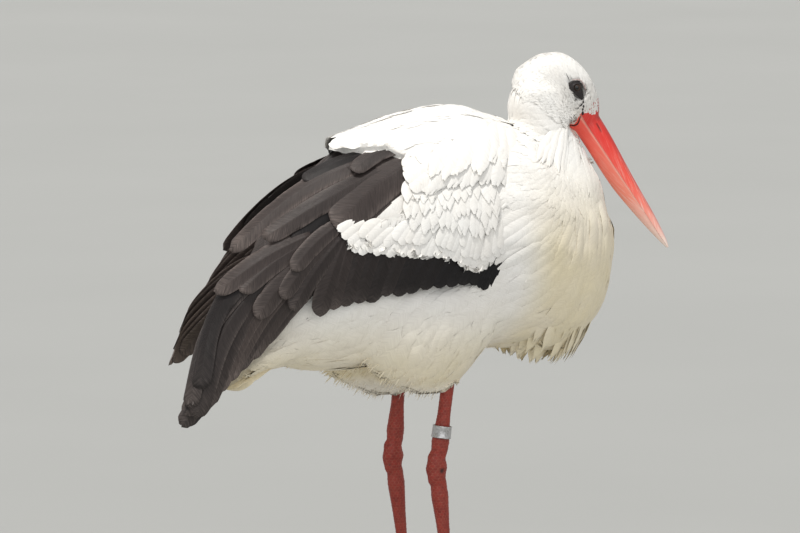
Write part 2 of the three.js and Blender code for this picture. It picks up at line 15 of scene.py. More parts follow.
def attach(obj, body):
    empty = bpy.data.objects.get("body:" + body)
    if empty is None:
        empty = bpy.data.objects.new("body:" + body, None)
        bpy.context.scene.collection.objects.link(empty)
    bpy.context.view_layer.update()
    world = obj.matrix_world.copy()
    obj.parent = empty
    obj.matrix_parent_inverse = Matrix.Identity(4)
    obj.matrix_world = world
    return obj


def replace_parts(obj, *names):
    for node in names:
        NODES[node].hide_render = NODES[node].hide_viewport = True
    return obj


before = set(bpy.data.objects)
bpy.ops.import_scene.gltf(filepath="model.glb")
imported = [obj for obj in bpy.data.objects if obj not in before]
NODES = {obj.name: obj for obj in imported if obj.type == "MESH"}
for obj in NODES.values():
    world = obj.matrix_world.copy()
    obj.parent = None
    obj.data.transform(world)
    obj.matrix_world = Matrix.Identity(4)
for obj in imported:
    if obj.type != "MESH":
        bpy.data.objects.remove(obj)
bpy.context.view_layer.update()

MM = 0.001
CENTRE_X = 4.0  # the tables below are measured from a point 4 mm behind the frame's origin
SIDES = {"right": -1, "left": 1}
rng = np.random.default_rng(11)


# ---- camera, light and floor ----

TARGET = Vector((0.01373, 0.05709, 0.45029))
AZIMUTH, ELEVATION = math.radians(-27), math.radians(7)
DISTANCE = 7.0
VIEW_WIDTH = 0.92  # metres across the picture at the target
SENSOR = 36.0


def aim(thing, place, target):
    thing.location = place
    thing.rotation_mode = "QUATERNION"
    thing.rotation_quaternion = (Vector(target) - Vector(place)).to_track_quat("-Z", "Y")


def link(name, data):
    made = bpy.data.objects.new(name, data)
    bpy.context.scene.collection.objects.link(made)
    return made


def make_camera():
    data = bpy.data.cameras.new("camera")
    data.sensor_width = SENSOR
    data.lens = SENSOR * DISTANCE / VIEW_WIDTH
    data.clip_end = 100
    camera = link("camera", data)
    back = Vector((
        math.sin(AZIMUTH) * math.cos(ELEVATION),
        -math.cos(AZIMUTH) * math.cos(ELEVATION),
        math.sin(ELEVATION),
    ))
    aim(camera, TARGET + back * DISTANCE, TARGET)
    bpy.context.scene.camera = camera


SUN_WAY = (-0.30, -0.13, 0.94)  # towards the key light, high over the bird's back
FILL_WAY = (-0.25, -0.9, 0.22)
SUN_DISTANCE = 4
KEY, FILL, SKY = 2.6, 0.72, 0.58


def make_sun(name, way, strength, spread, colour):
    data = bpy.data.lights.new(name, "SUN")
    data.energy = strength
    data.angle = math.radians(spread)
    data.color = colour
    aim(link(name, data), Vector(way) * SUN_DISTANCE, (0, 0, 0))


def make_lights():
    make_sun("key", SUN_WAY, KEY, 5, (1.0, 0.975, 0.93))
    make_sun("fill", FILL_WAY, FILL, 60, (0.96, 0.98, 1.0))
    world = bpy.data.worlds.new("studio")
    world.use_nodes = True
    background = world.node_tree.nodes["Background"]
    background.inputs["Color"].default_value = (1.0, 0.99, 0.975, 1)
    background.inputs["Strength"].default_value = SKY
    bpy.context.scene.world = world
    bpy.context.scene.view_settings.view_transform = "Standard"


# ---- numbers and shapes ----

def unit(vectors):
    return vectors / np.maximum(np.linalg.norm(vectors, axis=-1, keepdims=True), 1e-9)


def ramp(start, end, value):
    t = np.clip((np.asarray(value, float) - start) / (end - start), 0, 1)
    return t * t * (3 - 2 * t)


def mix(a, b, share):
    return a + (b - a) * share


def stations(rows):
    """A smooth function through rows of (x, value, value...)."""
    table = np.array(rows, float)
    xs, values = table[:, 0], table[:, 1:]
    order = np.arange(len(xs))
    low, high = np.maximum(order - 1, 0), np.minimum(order + 1, len(xs) - 1)
    slopes = (values[high] - values[low]) / (xs[high] - xs[low])[:, None]

    def at(x):
        x = np.asarray(x, float)
        i = np.clip(np.searchsorted(xs, x, side="right") - 1, 0, len(xs) - 2)
        span = (xs[i + 1] - xs[i])[..., None]
        t = np.clip((x - xs[i])[..., None] / span, 0, 1)
        ahead = slopes[i] * span * (t**3 - 2 * t**2 + t) + slopes[i + 1] * span * (t**3 - t**2)
        return values[i] * (2 * t**3 - 3 * t**2 + 1) + values[i + 1] * (3 * t**2 - 2 * t**3) + ahead

    return at


def grid_faces(rows, columns, closed=False):
    across = columns if closed else columns - 1
    r, c = np.meshgrid(np.arange(rows - 1), np.arange(across), indexing="ij")
    nxt = (c + 1) % columns
    quads = [r * columns + c, r * columns + nxt, (r + 1) * columns + nxt, (r + 1) * columns + c]
    return np.stack(quads, -1).reshape(-1, 4)


def repeat_faces(faces, size, count):
    return (faces[None] + (np.arange(count) * size)[:, None, None]).reshape(-1, 4)


def add_mesh(name, points, faces, material, slot, uv=None, **attributes):
    """A mesh object from millimetre points and quads. uv has one (u, v) for each point."""
    mesh = bpy.data.meshes.new(name)
    mesh.vertices.add(len(points))
    mesh.vertices.foreach_set("co", (np.asarray(points) * MM).astype(np.float32).ravel())
    mesh.loops.add(faces.size)
    mesh.loops.foreach_set("vertex_index", faces.astype(np.int32).ravel())
    mesh.polygons.add(len(faces))
    starts = np.arange(0, faces.size, faces.shape[1], dtype=np.int32)
    mesh.polygons.foreach_set("loop_start", starts)
    mesh.update(calc_edges=True)
    if uv is not None:
        layer = mesh.uv_layers.new(name="OFBake")
        layer.data.foreach_set("uv", uv[faces.ravel()].astype(np.float32).ravel())
    for key, values in attributes.items():
        values = np.asarray(values, np.float32)
        kind, field = ("FLOAT", "value") if values.ndim == 1 else ("FLOAT_VECTOR", "vector")
        layer = mesh.attributes.new(key, kind, "POINT")
        layer.data.foreach_set(field, values.ravel())
    mesh.shade_smooth()
    mesh.materials.append(material)
    piece = link(name, mesh)
    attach(piece, "root")
    return piece


def corners_of(mesh):
    points = np.empty(len(mesh.vertices) * 3, np.float32)
    mesh.vertices.foreach_get("co", points)
    return points.reshape(-1, 3).astype(float) / MM


def joined(nodes):
    """Corners and faces of the named CAD nodes together, and which node each face is from."""
    points, polygons, owner = [], [], []
    for k, name in enumerate(nodes):
        mesh = NODES[name].data
        shift = sum(len(p) for p in points)
        polygons += [[v + shift for v in face.vertices] for face in mesh.polygons]
        owner += [k] * len(mesh.polygons)
        points.append(corners_of(mesh))
    return np.vstack(points), polygons, owner


def remeshed(nodes, voxel, rounds):
    """The named CAD nodes as one closed surface of quads, smoothed."""
    points, polygons, _ = joined(nodes)
    mesh = bpy.data.meshes.new("joined")
    mesh.from_pydata(points * MM, [], polygons)
    holder = link("joined", mesh)
    remesh = holder.modifiers.new("remesh", "REMESH")
    remesh.mode = "VOXEL"
    remesh.voxel_size = voxel * MM
    smoother = holder.modifiers.new("smooth", "SMOOTH")
    smoother.iterations = rounds
    made = holder.evaluated_get(bpy.context.evaluated_depsgraph_get()).to_mesh()
    faces = np.empty(len(made.loops), np.int32)
    made.loops.foreach_get("vertex_index", faces)
    points = corners_of(made)
    bpy.data.objects.remove(holder)
    return points, faces.reshape(-1, 4)


def crossed(points, faces):
    """The cross product of each quad's diagonals: its normal, times twice its area."""
    corners = points[faces]
    return np.cross(corners[:, 2] - corners[:, 0], corners[:, 3] - corners[:, 1])


def point_normals(points, faces):
    across = crossed(points, faces)
    normals = np.zeros_like(points)
    for k in range(4):
        np.add.at(normals, faces[:, k], across)
    return unit(normals)


def relax(values, faces, rounds):
    """Averages a value of each point with its neighbours, again and again."""
    edges = np.vstack([faces[:, [k, (k + 1) % 4]] for k in range(4)])
    count = np.bincount(edges.ravel(), minlength=len(values))
    count = count.reshape((-1,) + (1,) * (values.ndim - 1))
    for _ in range(rounds):
        total = np.zeros_like(values)
        np.add.at(total, edges[:, 0], values[edges[:, 1]])
        np.add.at(total, edges[:, 1], values[edges[:, 0]])
        values = 0.5 * values + 0.5 * total / np.maximum(count, 1)
    return values


def tree_of(points, faces):
    return BVHTree.FromPolygons(points.tolist(), [list(map(int, f)) for f in faces])


def nearest(tree, points):
    """Place, normal and face of the surface nearest to each point."""
    found = [tree.find_nearest(Vector(p)) for p in points]
    places = np.array([f[0] for f in found])
    normals = np.array([f[1] for f in found])
    return places, normals, np.array([f[2] for f in found])


# ---- materials ----

def shade(value):
    """A colour with its alpha, from (red, green, blue) or from one number for a grey."""
    return (value, value, value, 1) if isinstance(value, (int, float)) else (*value, 1)


class Paint:
    """A Principled material and short ways to wire its nodes."""

    def __init__(self, name, roughness, **shader):
        self.material = bpy.data.materials.new(name)
        self.material.use_nodes = True
        self.tree = self.material.node_tree
        self.shader = self.tree.nodes["Principled BSDF"]
        self.shader.inputs["Roughness"].default_value = roughness
        for key, value in shader.items():
            self.shader.inputs[key.replace("_", " ")].default_value = value

    def node(self, kind, inputs=(), **settings):
        made = self.tree.nodes.new("ShaderNode" + kind)
        for key, value in settings.items():
            setattr(made, key, value)
        for key, value in dict(inputs).items():
            socket = made.inputs[key]
            if isinstance(value, bpy.types.NodeSocket):
                self.tree.links.new(value, socket)
            else:
                socket.default_value = value
        return made

    def attribute(self, name, output="Fac"):
        return self.node("Attribute", attribute_name=name).outputs[output]

    def parts(self, name):
        """The three numbers of a vector attribute."""
        return self.node("SeparateXYZ", {0: self.attribute(name, "Vector")}).outputs[:3]

    def math(self, operation, a, b=0.0):
        return self.node("Math", {0: a, 1: b}, operation=operation).outputs[0]

    def vector(self, x, y, z):
        return self.node("CombineXYZ", {0: x, 1: y, 2: z}).outputs[0]

    def place(self):
        return self.node("TexCoord").outputs["Object"]

    def scaled(self, vector, *scale):
        return self.node("Mapping", {"Vector": vector, "Scale": scale}).outputs[0]

    def noise(self, vector, scale, detail=2.0, roughness=0.5):
        inputs = {"Vector": vector, "Scale": scale, "Detail": detail, "Roughness": roughness}
        return self.node("TexNoise", inputs).outputs["Fac"]

    def stops(self, factor, *stops):
        """A colour ramp. Each stop is (place, colour)."""
        made = self.node("ValToRGB", {0: factor})
        elements = made.color_ramp.elements
        while len(elements) < len(stops):
            elements.new(0.5)
        for element, (place, colour) in zip(elements, stops):
            element.position = place
            element.color = shade(colour)
        return made.outputs[0]

    def blend(self, share, a, b, how="MIX"):
        a, b = (v if isinstance(v, bpy.types.NodeSocket) else shade(v) for v in (a, b))
        made = self.node("Mix", {0: share, 6: a, 7: b}, data_type="RGBA", blend_type=how)
        return made.outputs[2]

    def tint(self, a, b):
        return self.blend(1.0, a, b, "MULTIPLY")

    def finish(self, colour, height=None, strength=0.3, distance=0.001, rough=None):
        """Wires the colour, the height of the bumps and the roughness. Returns the material."""
        wires = {"Base Color": colour}
        if rough is not None:
            wires["Roughness"] = rough
        if height is not None:
            bump = {"Height": height, "Strength": strength, "Distance": distance}
            wires["Normal"] = self.node("Bump", bump).outputs[0]
        for socket, value in wires.items():
            self.tree.links.new(value, self.shader.inputs[socket])
        return self.material


def barb_pattern(paint, fineness):
    """Streaks that run from the shaft outwards and towards the tip, as a vane's barbs do."""
    across, along, own = paint.parts("barb")
    outwards = paint.math("MULTIPLY", paint.math("ABSOLUTE", across), 0.9)
    slant = paint.math("SUBTRACT", along, outwards)
    streak = paint.vector(paint.math("MULTIPLY", across, 0.09), slant, own)
    return paint.noise(streak, fineness, 2.5, 0.6)


# The creams are partly real staining and partly painted shade and painted warm light thrown up from
# below.
WHITE, STAIN_AND_PAINTED_LIGHT_CREAM, STAIN = (0.94, 0.93, 0.905), (0.84, 0.75, 0.54), (0.89, 0.83, 0.76)
DOWN_WHITE, DOWN_STAIN_AND_PAINTED_LIGHT_CREAM = (0.92, 0.91, 0.885), (0.80, 0.70, 0.48)


def white_plumage(name, fineness):
    paint = Paint(name, 0.75, Sheen_Weight=0.2, Sheen_Roughness=0.5, Specular_IOR_Level=0.2)
    _, _, tone = paint.parts("vane")
    barbs = barb_pattern(paint, fineness)
    stain = paint.stops(paint.noise(paint.place(), 16.0, 3.0), (0.42, 0), (0.80, 0.45))
    # creamier under the body and on the breast: real staining with painted shade and painted warm
    # bounce light
    white = paint.blend(paint.attribute("warm"), WHITE, STAIN_AND_PAINTED_LIGHT_CREAM)
    white = paint.blend(stain, white, STAIN)
    white = paint.tint(white, paint.stops(barbs, (0.30, (0.90, 0.895, 0.89)), (0.60, 1)))
    white = paint.tint(white, paint.stops(tone, (0.0, (0.965, 0.96, 0.95)), (1.0, 1)))
    return paint.finish(white, barbs, 0.35, 0.0006)


def dark_plumage(name):
    paint = Paint(name, 0.46, Specular_IOR_Level=0.24)
    across, along, tone = paint.parts("vane")
    barbs = barb_pattern(paint, 1.1)
    fine = barb_pattern(paint, 3.6)
    # On the wings the vane's tone is mostly painted light, with some random variation: a feather
    # painted as lit is browner and paler, one in shade near black.
    brown = paint.blend(tone, (0.0055, 0.005, 0.006), (0.078, 0.060, 0.055))
    pale = paint.blend(tone, (0.016, 0.015, 0.016), (0.32, 0.26, 0.235))
    # Pale rims at the vane's edges and tip: partly real wear, partly a painted rim highlight,
    # brightest on the feathers with the most painted light.
    edge = paint.math("POWER", paint.math("ABSOLUTE", across), 5.0)
    fringe = paint.math("MAXIMUM", edge, paint.math("POWER", along, 9.0))
    worn_and_lit_rim = paint.math("MULTIPLY", fringe, paint.stops(barbs, (0.35, 0.25), (0.65, 1)))
    streak = paint.stops(barbs, (0.3, 0.62), (0.6, 1), (0.8, (1.35, 1.3, 1.28)))
    colour = paint.tint(paint.blend(worn_and_lit_rim, brown, pale), streak)
    return paint.finish(colour, fine, 0.55, 0.0006, paint.stops(fine, (0.3, 0.30), (0.7, 0.52)))


def skin_paint():
    paint = Paint("skin_down", 0.85, Specular_IOR_Level=0.2)
    down = paint.noise(paint.place(), 260.0, 4.0, 0.7)
    # creamier under the body and on the breast: real staining with painted shade and painted warm
    # bounce light
    white = paint.blend(paint.attribute("warm"), DOWN_WHITE, DOWN_STAIN_AND_PAINTED_LIGHT_CREAM)
    dull = paint.stops(down, (0.3, (0.93, 0.925, 0.92)), (0.7, 1))
    return paint.finish(paint.tint(white, dull), down, 0.5, 0.0015)


# Colours from the bill's root to its tip, along each mandible. The lower mandible's are lighter:
# painted light thrown up from the white breast.
UPPER_REDS = [
    (0.0, (0.72, 0.030, 0.022)), (0.22, (0.82, 0.038, 0.026)), (0.55, (0.93, 0.12, 0.08)),
    (0.80, (0.95, 0.36, 0.28)), (0.97, (0.96, 0.78, 0.68)),
]
LOWER_REDS_WITH_BOUNCE = [(0.1, (0.92, 0.10, 0.065)), (0.6, (0.98, 0.30, 0.21)), (0.97, (0.96, 0.80, 0.70))]
# The first colour here is a painted highlight along the mouth line, where the mandibles' edges
# catch the light.
TOMIUM_HIGHLIGHT, FLAKE, NOSTRIL_AND_MOUTH_SHADE = (0.95, 0.48, 0.38), (0.97, 0.72, 0.64), (0.10, 0.012, 0.010)


def bill_paint():
    horn = dict(Specular_IOR_Level=0.5, Coat_Weight=0.12, Coat_Roughness=0.25)
    paint = Paint("bill_horn", 0.38, **horn)
    along, height, pit = paint.parts("shape")
    place = paint.attribute("grain", "Vector")
    grain = paint.noise(paint.scaled(place, 0.05, 1.0, 1.0), 0.9, 4.0, 0.65)
    blotch = paint.math("SUBTRACT", paint.noise(place, 0.07, 3.0), 0.5)
    ground = paint.math("ADD", along, paint.math("MULTIPLY", blotch, 0.12))
    upper, lower = paint.stops(ground, *UPPER_REDS), paint.stops(ground, *LOWER_REDS_WITH_BOUNCE)
    red = paint.blend(paint.attribute("lower"), upper, lower)
    # painted highlight along the mouth line
    red = paint.blend(paint.stops(height, (0.0, 0.75), (0.07, 0)), red, TOMIUM_HIGHLIGHT)
    # painted shade: the top of the upper mandible is darker
    red = paint.tint(red, paint.stops(height, (0.62, 1), (0.97, (0.62, 0.50, 0.56))))
    flakes = paint.stops(grain, (0.50, 0), (0.78, 1))
    flakes = paint.math("MULTIPLY", flakes, paint.stops(along, (0.25, 0.16), (0.75, 0.95)))
    # painted shade in the nostrils and on the faces between the mandibles
    red = paint.blend(pit, paint.blend(flakes, red, FLAKE), NOSTRIL_AND_MOUTH_SHADE)
    return paint.finish(red, grain, 0.35, 0.0006, paint.stops(grain, (0.3, 0.30), (0.75, 0.55)))


LEG_REDS = (0.20, 0.014, 0.008), (0.31, 0.026, 0.015)
LEG_BROAD, LEG_CHALK, ANKLE_PIT_SHADE = (0.34, 0.055, 0.034), (0.55, 0.28, 0.19), (0.05, 0.008, 0.006)


def leg_paint():
    paint = Paint("leg_scales", 0.52, Specular_IOR_Level=0.45)
    crease, tone, pit = paint.parts("scale")
    dust = paint.noise(paint.place(), 900.0, 4.0, 0.7)
    broad = paint.stops(paint.noise(paint.place(), 60.0, 3.0), (0.3, 0), (0.75, 0.45))
    chalk = paint.math("MULTIPLY", paint.stops(dust, (0.52, 0), (0.72, 1)), 0.55)
    seam = paint.math("MULTIPLY", crease, paint.math("ADD", chalk, 0.08))
    red = paint.blend(broad, paint.blend(tone, *LEG_REDS), LEG_BROAD)
    # painted shade in the pit at the ankle, darkest at its middle
    red = paint.blend(pit, paint.blend(seam, red, LEG_CHALK), ANKLE_PIT_SHADE)
    return paint.finish(red, dust, 0.35, 0.0004, paint.stops(dust, (0.3, 0.42), (0.7, 0.66)))


def claw_paint():
    paint = Paint("claw_horn", 0.4, Specular_IOR_Level=0.5)
    grain = paint.noise(paint.scaled(paint.place(), 60, 400, 400), 1.0, 3.0)
    colour = paint.stops(grain, (0.3, (0.045, 0.020, 0.015)), (0.7, (0.16, 0.075, 0.05)))
    return paint.finish(colour, grain, 0.3, 0.0004)


def eye_paint():
    wet = dict(Specular_IOR_Level=0.35, Coat_Weight=0.35, Coat_Roughness=0.02)
    paint = Paint("eye_wet", 0.06, **wet)
    out, spoke, _ = paint.parts("iris")
    rays = paint.noise(paint.vector(spoke, paint.math("MULTIPLY", out, 0.15), 0.0), 14.0, 3.0)
    brown = paint.stops(rays, (0.3, (0.012, 0.007, 0.005)), (0.7, (0.060, 0.030, 0.017)))
    pupil = paint.stops(out, (0.36, 0), (0.41, 1), (0.86, 1), (0.95, 0.2))
    return paint.finish(paint.tint(brown, pupil))


def folded_paint(name, roughness, level, scale, strength, dark, light):
    """Bare skin with fine folds. dark and light are the stops of its colour."""
    paint = Paint(name, roughness, Specular_IOR_Level=level)
    folds = paint.noise(paint.place(), scale, 4.0, 0.6)
    return paint.finish(paint.stops(folds, dark, light), folds, strength, 0.0006)


def bare_skin_paint():
    dark, light = (0.3, (0.006, 0.005, 0.005)), (0.75, (0.034, 0.024, 0.024))
    return folded_paint("bare_skin", 0.5, 0.45, 700.0, 0.6, dark, light)


def lid_paint():
    dark, light = (0.3, (0.42, 0.28, 0.26)), (0.7, (0.74, 0.64, 0.61))
    return folded_paint("lid_skin", 0.6, 0.35, 600.0, 0.5, dark, light)


def ring_paint():
    paint = Paint("ring_metal", 0.38, Metallic=1.0)
    lines = paint.noise(paint.scaled(paint.place(), 60, 60, 1500), 1.0, 3.0, 0.7)
    scuffs = paint.noise(paint.place(), 420.0, 5.0, 0.75)
    metal = paint.stops(scuffs, (0.35, (0.34, 0.335, 0.33)), (0.7, (0.72, 0.72, 0.73)))
    return paint.finish(metal, lines, 0.3, 0.0003, paint.stops(lines, (0.3, 0.28), (0.7, 0.55)))


def floor_paint():
    paint = Paint("studio_floor", 0.8)
    grain = paint.noise(paint.place(), 1.5, 3.0)
    grey = paint.stops(grain, (0.3, (0.35, 0.357, 0.350)), (0.7, (0.362, 0.369, 0.362)))
    return paint.finish(grey)


FLOOR = dict(inner=100.0, outer=40000.0, sides=64, under=0.4)


def make_floor():
    sides = FLOOR["sides"]
    turns = np.linspace(0, 2 * np.pi, sides, endpoint=False)
    rim = np.stack([np.cos(turns), np.sin(turns), np.zeros(sides)], -1)
    points = np.vstack([rim * FLOOR["inner"], rim * FLOOR["outer"]]) - [0, 0, FLOOR["under"]]
    mesh = bpy.data.meshes.new("floor")
    faces = grid_faces(2, sides, closed=True).tolist() + [list(range(sides))]
    mesh.from_pydata(points * MM, [], faces)
    mesh.materials.append(floor_paint())
    link("floor", mesh)


# ---- the head's own frame: X along the mouth line to the bill's tip, Z towards the crown ----

HEAD_PLACE = np.array([211 + CENTRE_X, -15, 613])
HEAD_TURN = np.array(
    Matrix.Rotation(math.radians(-20), 3, "Z") @ Matrix.Rotation(math.radians(56), 3, "Y")
)


def in_head(points):
    return (points - HEAD_PLACE) @ HEAD_TURN


def from_head(points):
    return np.asarray(points, float) @ HEAD_TURN.T + HEAD_PLACE


# ---- skin ----

FLESH = [
    "trunk", "neck", "head", "tail", "thigh_right", "thigh_left", "wing_right_arm", "wing_left_arm",
]
COAT_DEPTH = {
    "trunk": 5.0, "neck": 3.6, "head": 2.2, "tail": 3.0,
    "thigh_right": 5.0, "thigh_left": 5.0, "wing_right_arm": 3.5, "wing_left_arm": 3.5,
}
SKIN_VOXEL = 3.2
THIN = 0.35  # the coat is never deeper than this share of the flesh under it
SMOOTHING = 4  # rounds on the remeshed skin
PLUME_ROUNDS = 140  # rounds that draw the breast's plumes in
# In the head's frame. x: height of the crown, of the throat, half-width
HEAD = stations([
    [-97, 2, -32, 10], [-90, 18, -44, 22], [-72, 31, -45, 28], [-48, 36, -35, 26.5],
    [-26, 34, -25, 21.5], [-10, 28, -19.5, 16.5], [2, 20, -14.5, 12.5],
])
HEAD_POWER = 2.1


def head_half(x, z):
    """Half of the head's width at (x, z), in the head's frame."""
    crown, throat, half = np.moveaxis(HEAD(x), -1, 0)
    middle, tall = (crown + throat) / 2, (crown - throat) / 2
    share = np.clip(np.abs((z - middle) / tall), 0, 0.98)
    return half * (1 - share**HEAD_POWER) ** (1 / HEAD_POWER)


CHEEK = dict(x=-14.0, z=-9.0, wide=6.0, proud=1.7)


def cheek(points):
    """How far the feathered lobe at each corner of the mouth stands out."""
    own = in_head(points)
    away = np.hypot(own[:, 0] - CHEEK["x"], own[:, 2] - CHEEK["z"]) / CHEEK["wide"]
    return CHEEK["proud"] * np.exp(-(away**2)) * (np.abs(own[:, 1]) > 4)


JAW = dict(x=(-22.0, -13.0), end=(50.0, 25.0), z=(-22.0, -16.0), under=2.8)


def jaw(points):
    """Draws the neck in beside the mouth's corners, where the bill leaves the feathers."""
    own = in_head(points)
    x, y, z = own.T
    share = ramp(*JAW["x"], x) * ramp(*JAW["end"], x) * ramp(*JAW["z"], z)
    limit = np.maximum(head_half(x, z) - JAW["under"], 2)
    limit = np.where(share > 0, mix(45, limit, share), 1e4)
    own[:, 1] = np.clip(y, -limit, limit)
    return from_head(own)


class Skin:
    """The one skin inside the flesh nodes, and what the coat has to know about it."""

    def __init__(self):
        points, faces = remeshed(FLESH, SKIN_VOXEL, SMOOTHING)
        self.kinds = self.nearest_nodes(points)
        depth = np.array([COAT_DEPTH[FLESH[k]] for k in self.kinds])
        normals = point_normals(points, faces)
        depth = np.minimum(depth, THIN * self.thickness(points, faces, normals))
        depth = relax(depth, faces, 6)
        points = relax(points - normals * depth[:, None], faces, 2)
        points = jaw(self.without_plumes(points, faces))
        self.points = points + point_normals(points, faces) * cheek(points)[:, None]
        self.faces = faces
        self.tree = tree_of(self.points, faces)
        self.face_depth = depth[faces].mean(1)
        self.face_kind = self.kinds[faces[:, 0]]

    @staticmethod
    def without_plumes(points, faces):
        """Draws the breast's hanging plumes back into it, as the coat has its own."""
        share = (ramp(112, 124, points[:, 0]) * ramp(392, 372, points[:, 2]))[:, None]
        for _ in range(PLUME_ROUNDS):
            points = mix(points, relax(points, faces, 1), share)
        return points

    @staticmethod
    def nearest_nodes(points):
        corners, polygons, owner = joined(FLESH)
        tree = BVHTree.FromPolygons(corners.tolist(), polygons)
        return np.array([owner[tree.find_nearest(Vector(p))[2]] for p in points])

    @staticmethod
    def thickness(points, faces, normals):
        """How thick the flesh is under each point."""
        tree = tree_of(points, faces)
        thick = np.full(len(points), 100.0)
        for i, (point, normal) in enumerate(zip(points, normals)):
            hit = tree.ray_cast(Vector(point - normal * 0.05), Vector(-normal), 40.0)
            if hit[0] is not None:
                thick[i] = max(hit[3], 0.5)
        return thick

    @staticmethod
    def unwrap(points, kinds):
        """Places on a map of the skin, with trunk, neck and thighs rolled out round their axes."""
        x, y, z = points.T
        turn = np.arctan2(y, z - 480) / (2 * np.pi) + 0.5
        body = np.stack([0.03 + 0.44 * turn, 0.03 + 0.94 * (x + 320) / 640], -1)
        round_neck = np.arctan2(y, x - 165 - 0.3 * (z - 600)) / (2 * np.pi) + 0.5
        neck = np.stack([0.53 + 0.44 * round_neck, 0.53 + 0.44 * (z - 480) / 230], -1)
        side = np.sign(y)
        round_leg = np.arctan2(np.abs(y) - 46, x - 2) / (2 * np.pi) + 0.5
        start = np.where(side < 0, 0.53, 0.76)
        thigh = np.stack([start + 0.2 * round_leg, 0.03 + 0.44 * (z - 300) / 140], -1)
        names = np.array(FLESH)[kinds]
        is_neck = np.isin(names, ["neck", "head"])
        is_thigh = np.isin(names, ["thigh_right", "thigh_left"])
        return np.where(is_thigh[:, None], thigh, np.where(is_neck[:, None], neck, body))


def warmth(points):
    """How creamy the plumage is: 0 on the back, up to 1 under the body. The cream is partly real
    staining and partly painted shade and painted warm light thrown up from below.
    """
    x, _, z = points.T
    under = 0.95 * ramp(440, 335, z) * ramp(150, 90, x) * mix(1, 0.45, ramp(336, 316, z))
    breast = ramp(75, 135, x) * ramp(590, 465, z)
    by_mouth = 0.30 * ramp(34, 10, np.linalg.norm(in_head(points) - [-14, 0, -12], axis=1))
    return np.clip(under + breast + by_mouth, 0, 1)


def make_skin(skin):
    piece = add_mesh(
        "skin", skin.points, skin.faces, skin_paint(), "plumage",
        skin.unwrap(skin.points, skin.kinds), warm=warmth(skin.points),
    )
    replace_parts(piece, *FLESH)


# ---- how the feathers lie ----

BILL_ROOT = from_head([6, 0, 0])
# The ways that feathers point: over the back, along the side, down the breast, neck and leg.
OVER, ASIDE, BREAST, DOWN, LEG = np.array([
    [-1, 0, -0.12], [-1, 0, -0.55], [-0.30, 0, -1], [-0.12, 0, -1], [-0.42, 0, -1],
])


def lie(points):
    """The way that feathers point at each place."""
    x, _, z = points.T
    under = ramp(400, 350, z) * ramp(-40, -120, x)
    on_leg = ramp(430, 370, z) * ramp(-110, -40, x) * ramp(130, 70, x)
    on_neck = ramp(100, 135, x) * ramp(560, 600, z)
    way = mix(OVER, ASIDE, ramp(575, 520, z)[:, None])
    way = mix(way, OVER, under[:, None])
    way = mix(way, LEG, on_leg[:, None])
    way = mix(way, BREAST, ramp(100, 175, x)[:, None])
    way = mix(way, DOWN, on_neck[:, None])
    away = points - BILL_ROOT
    close = ramp(112, 72, np.linalg.norm(away, axis=1))[:, None]
    return unit(mix(unit(way), unit(away), close))


def rise(share):
    """The height of a feather over the skin along its length: steep at the root, then level."""
    return 0.12 + 0.90 * (1 - (1 - share) ** 3.6)


def march(skin, roots, lengths, steps, cling):
    """Centre lines along the skin from the roots, with the normals there. cling 1 hugs the body."""
    here, normal, face = nearest(skin.tree, roots)
    stride = (lengths / (steps - 1))[:, None]
    cling = np.asarray(cling)[:, None]
    heading = None
    lines, normals = [], []
    for k in range(steps):
        share = k / (steps - 1)
        height = skin.face_depth[face] * rise(share)
        lines.append(here + normal * height[:, None])
        normals.append(normal)
        way = lie(here)
        way = unit(way - normal * (way * normal).sum(1, keepdims=True))
        heading = way if heading is None else unit(mix(heading, way, 0.25 + 0.75 * cling))
        ahead = here + heading * stride
        place, found, face = nearest(skin.tree, ahead)
        here = mix(ahead, place, cling)
        normal = unit(mix(normal, found, 0.2 + 0.8 * cling))
    return np.stack(lines, 1), np.stack(normals, 1)


# ---- vanes ----

ROUND = stations([[0, 0.35], [0.2, 0.75], [0.5, 1.0], [0.8, 1.0], [1, 0.86]])
POINTED = stations([[0, 0.4], [0.25, 0.85], [0.5, 1.0], [0.75, 0.75], [0.92, 0.38], [1, 0.12]])
LANCE = stations([[0, 0.4], [0.25, 0.85], [0.5, 1.0], [0.75, 0.86], [0.92, 0.45], [1, 0.10]])
SOFT = stations([[0, 0.45], [0.2, 0.85], [0.5, 1.0], [0.75, 0.92], [0.9, 0.70], [1, 0.42]])
QUILL = stations([[0, 0.40], [0.15, 0.85], [0.4, 1.0], [0.8, 1.0], [0.93, 0.97], [1, 0.90]])


def gather(rows, share):
    """Rows (N, S, 3) read at fractions share (N, ...) of their length."""
    count, steps = rows.shape[:2]
    place = np.clip(share, 0, 1) * (steps - 1)
    low = np.minimum(place.astype(int), steps - 2)
    part = (place - low)[..., None]
    each = np.arange(count).reshape((count,) + (1,) * (share.ndim - 1))
    return rows[each, low] * (1 - part) + rows[each, low + 1] * part


BIG_COLUMNS = np.array([0.10, 0.42, 0.74, 0.94, 1.0])
SHAFT_WIDTH = 0.06  # share of the half-width
NICK = 0.14  # how deep a nick in the edge can be, as a share of the half-width


def vane_columns(columns):
    """Where a vane's columns stand: closer by the shaft and the edges of a big feather."""
    if columns < 9:
        return np.linspace(-1, 1, columns)
    return np.concatenate([-BIG_COLUMNS[::-1], [0], BIG_COLUMNS])


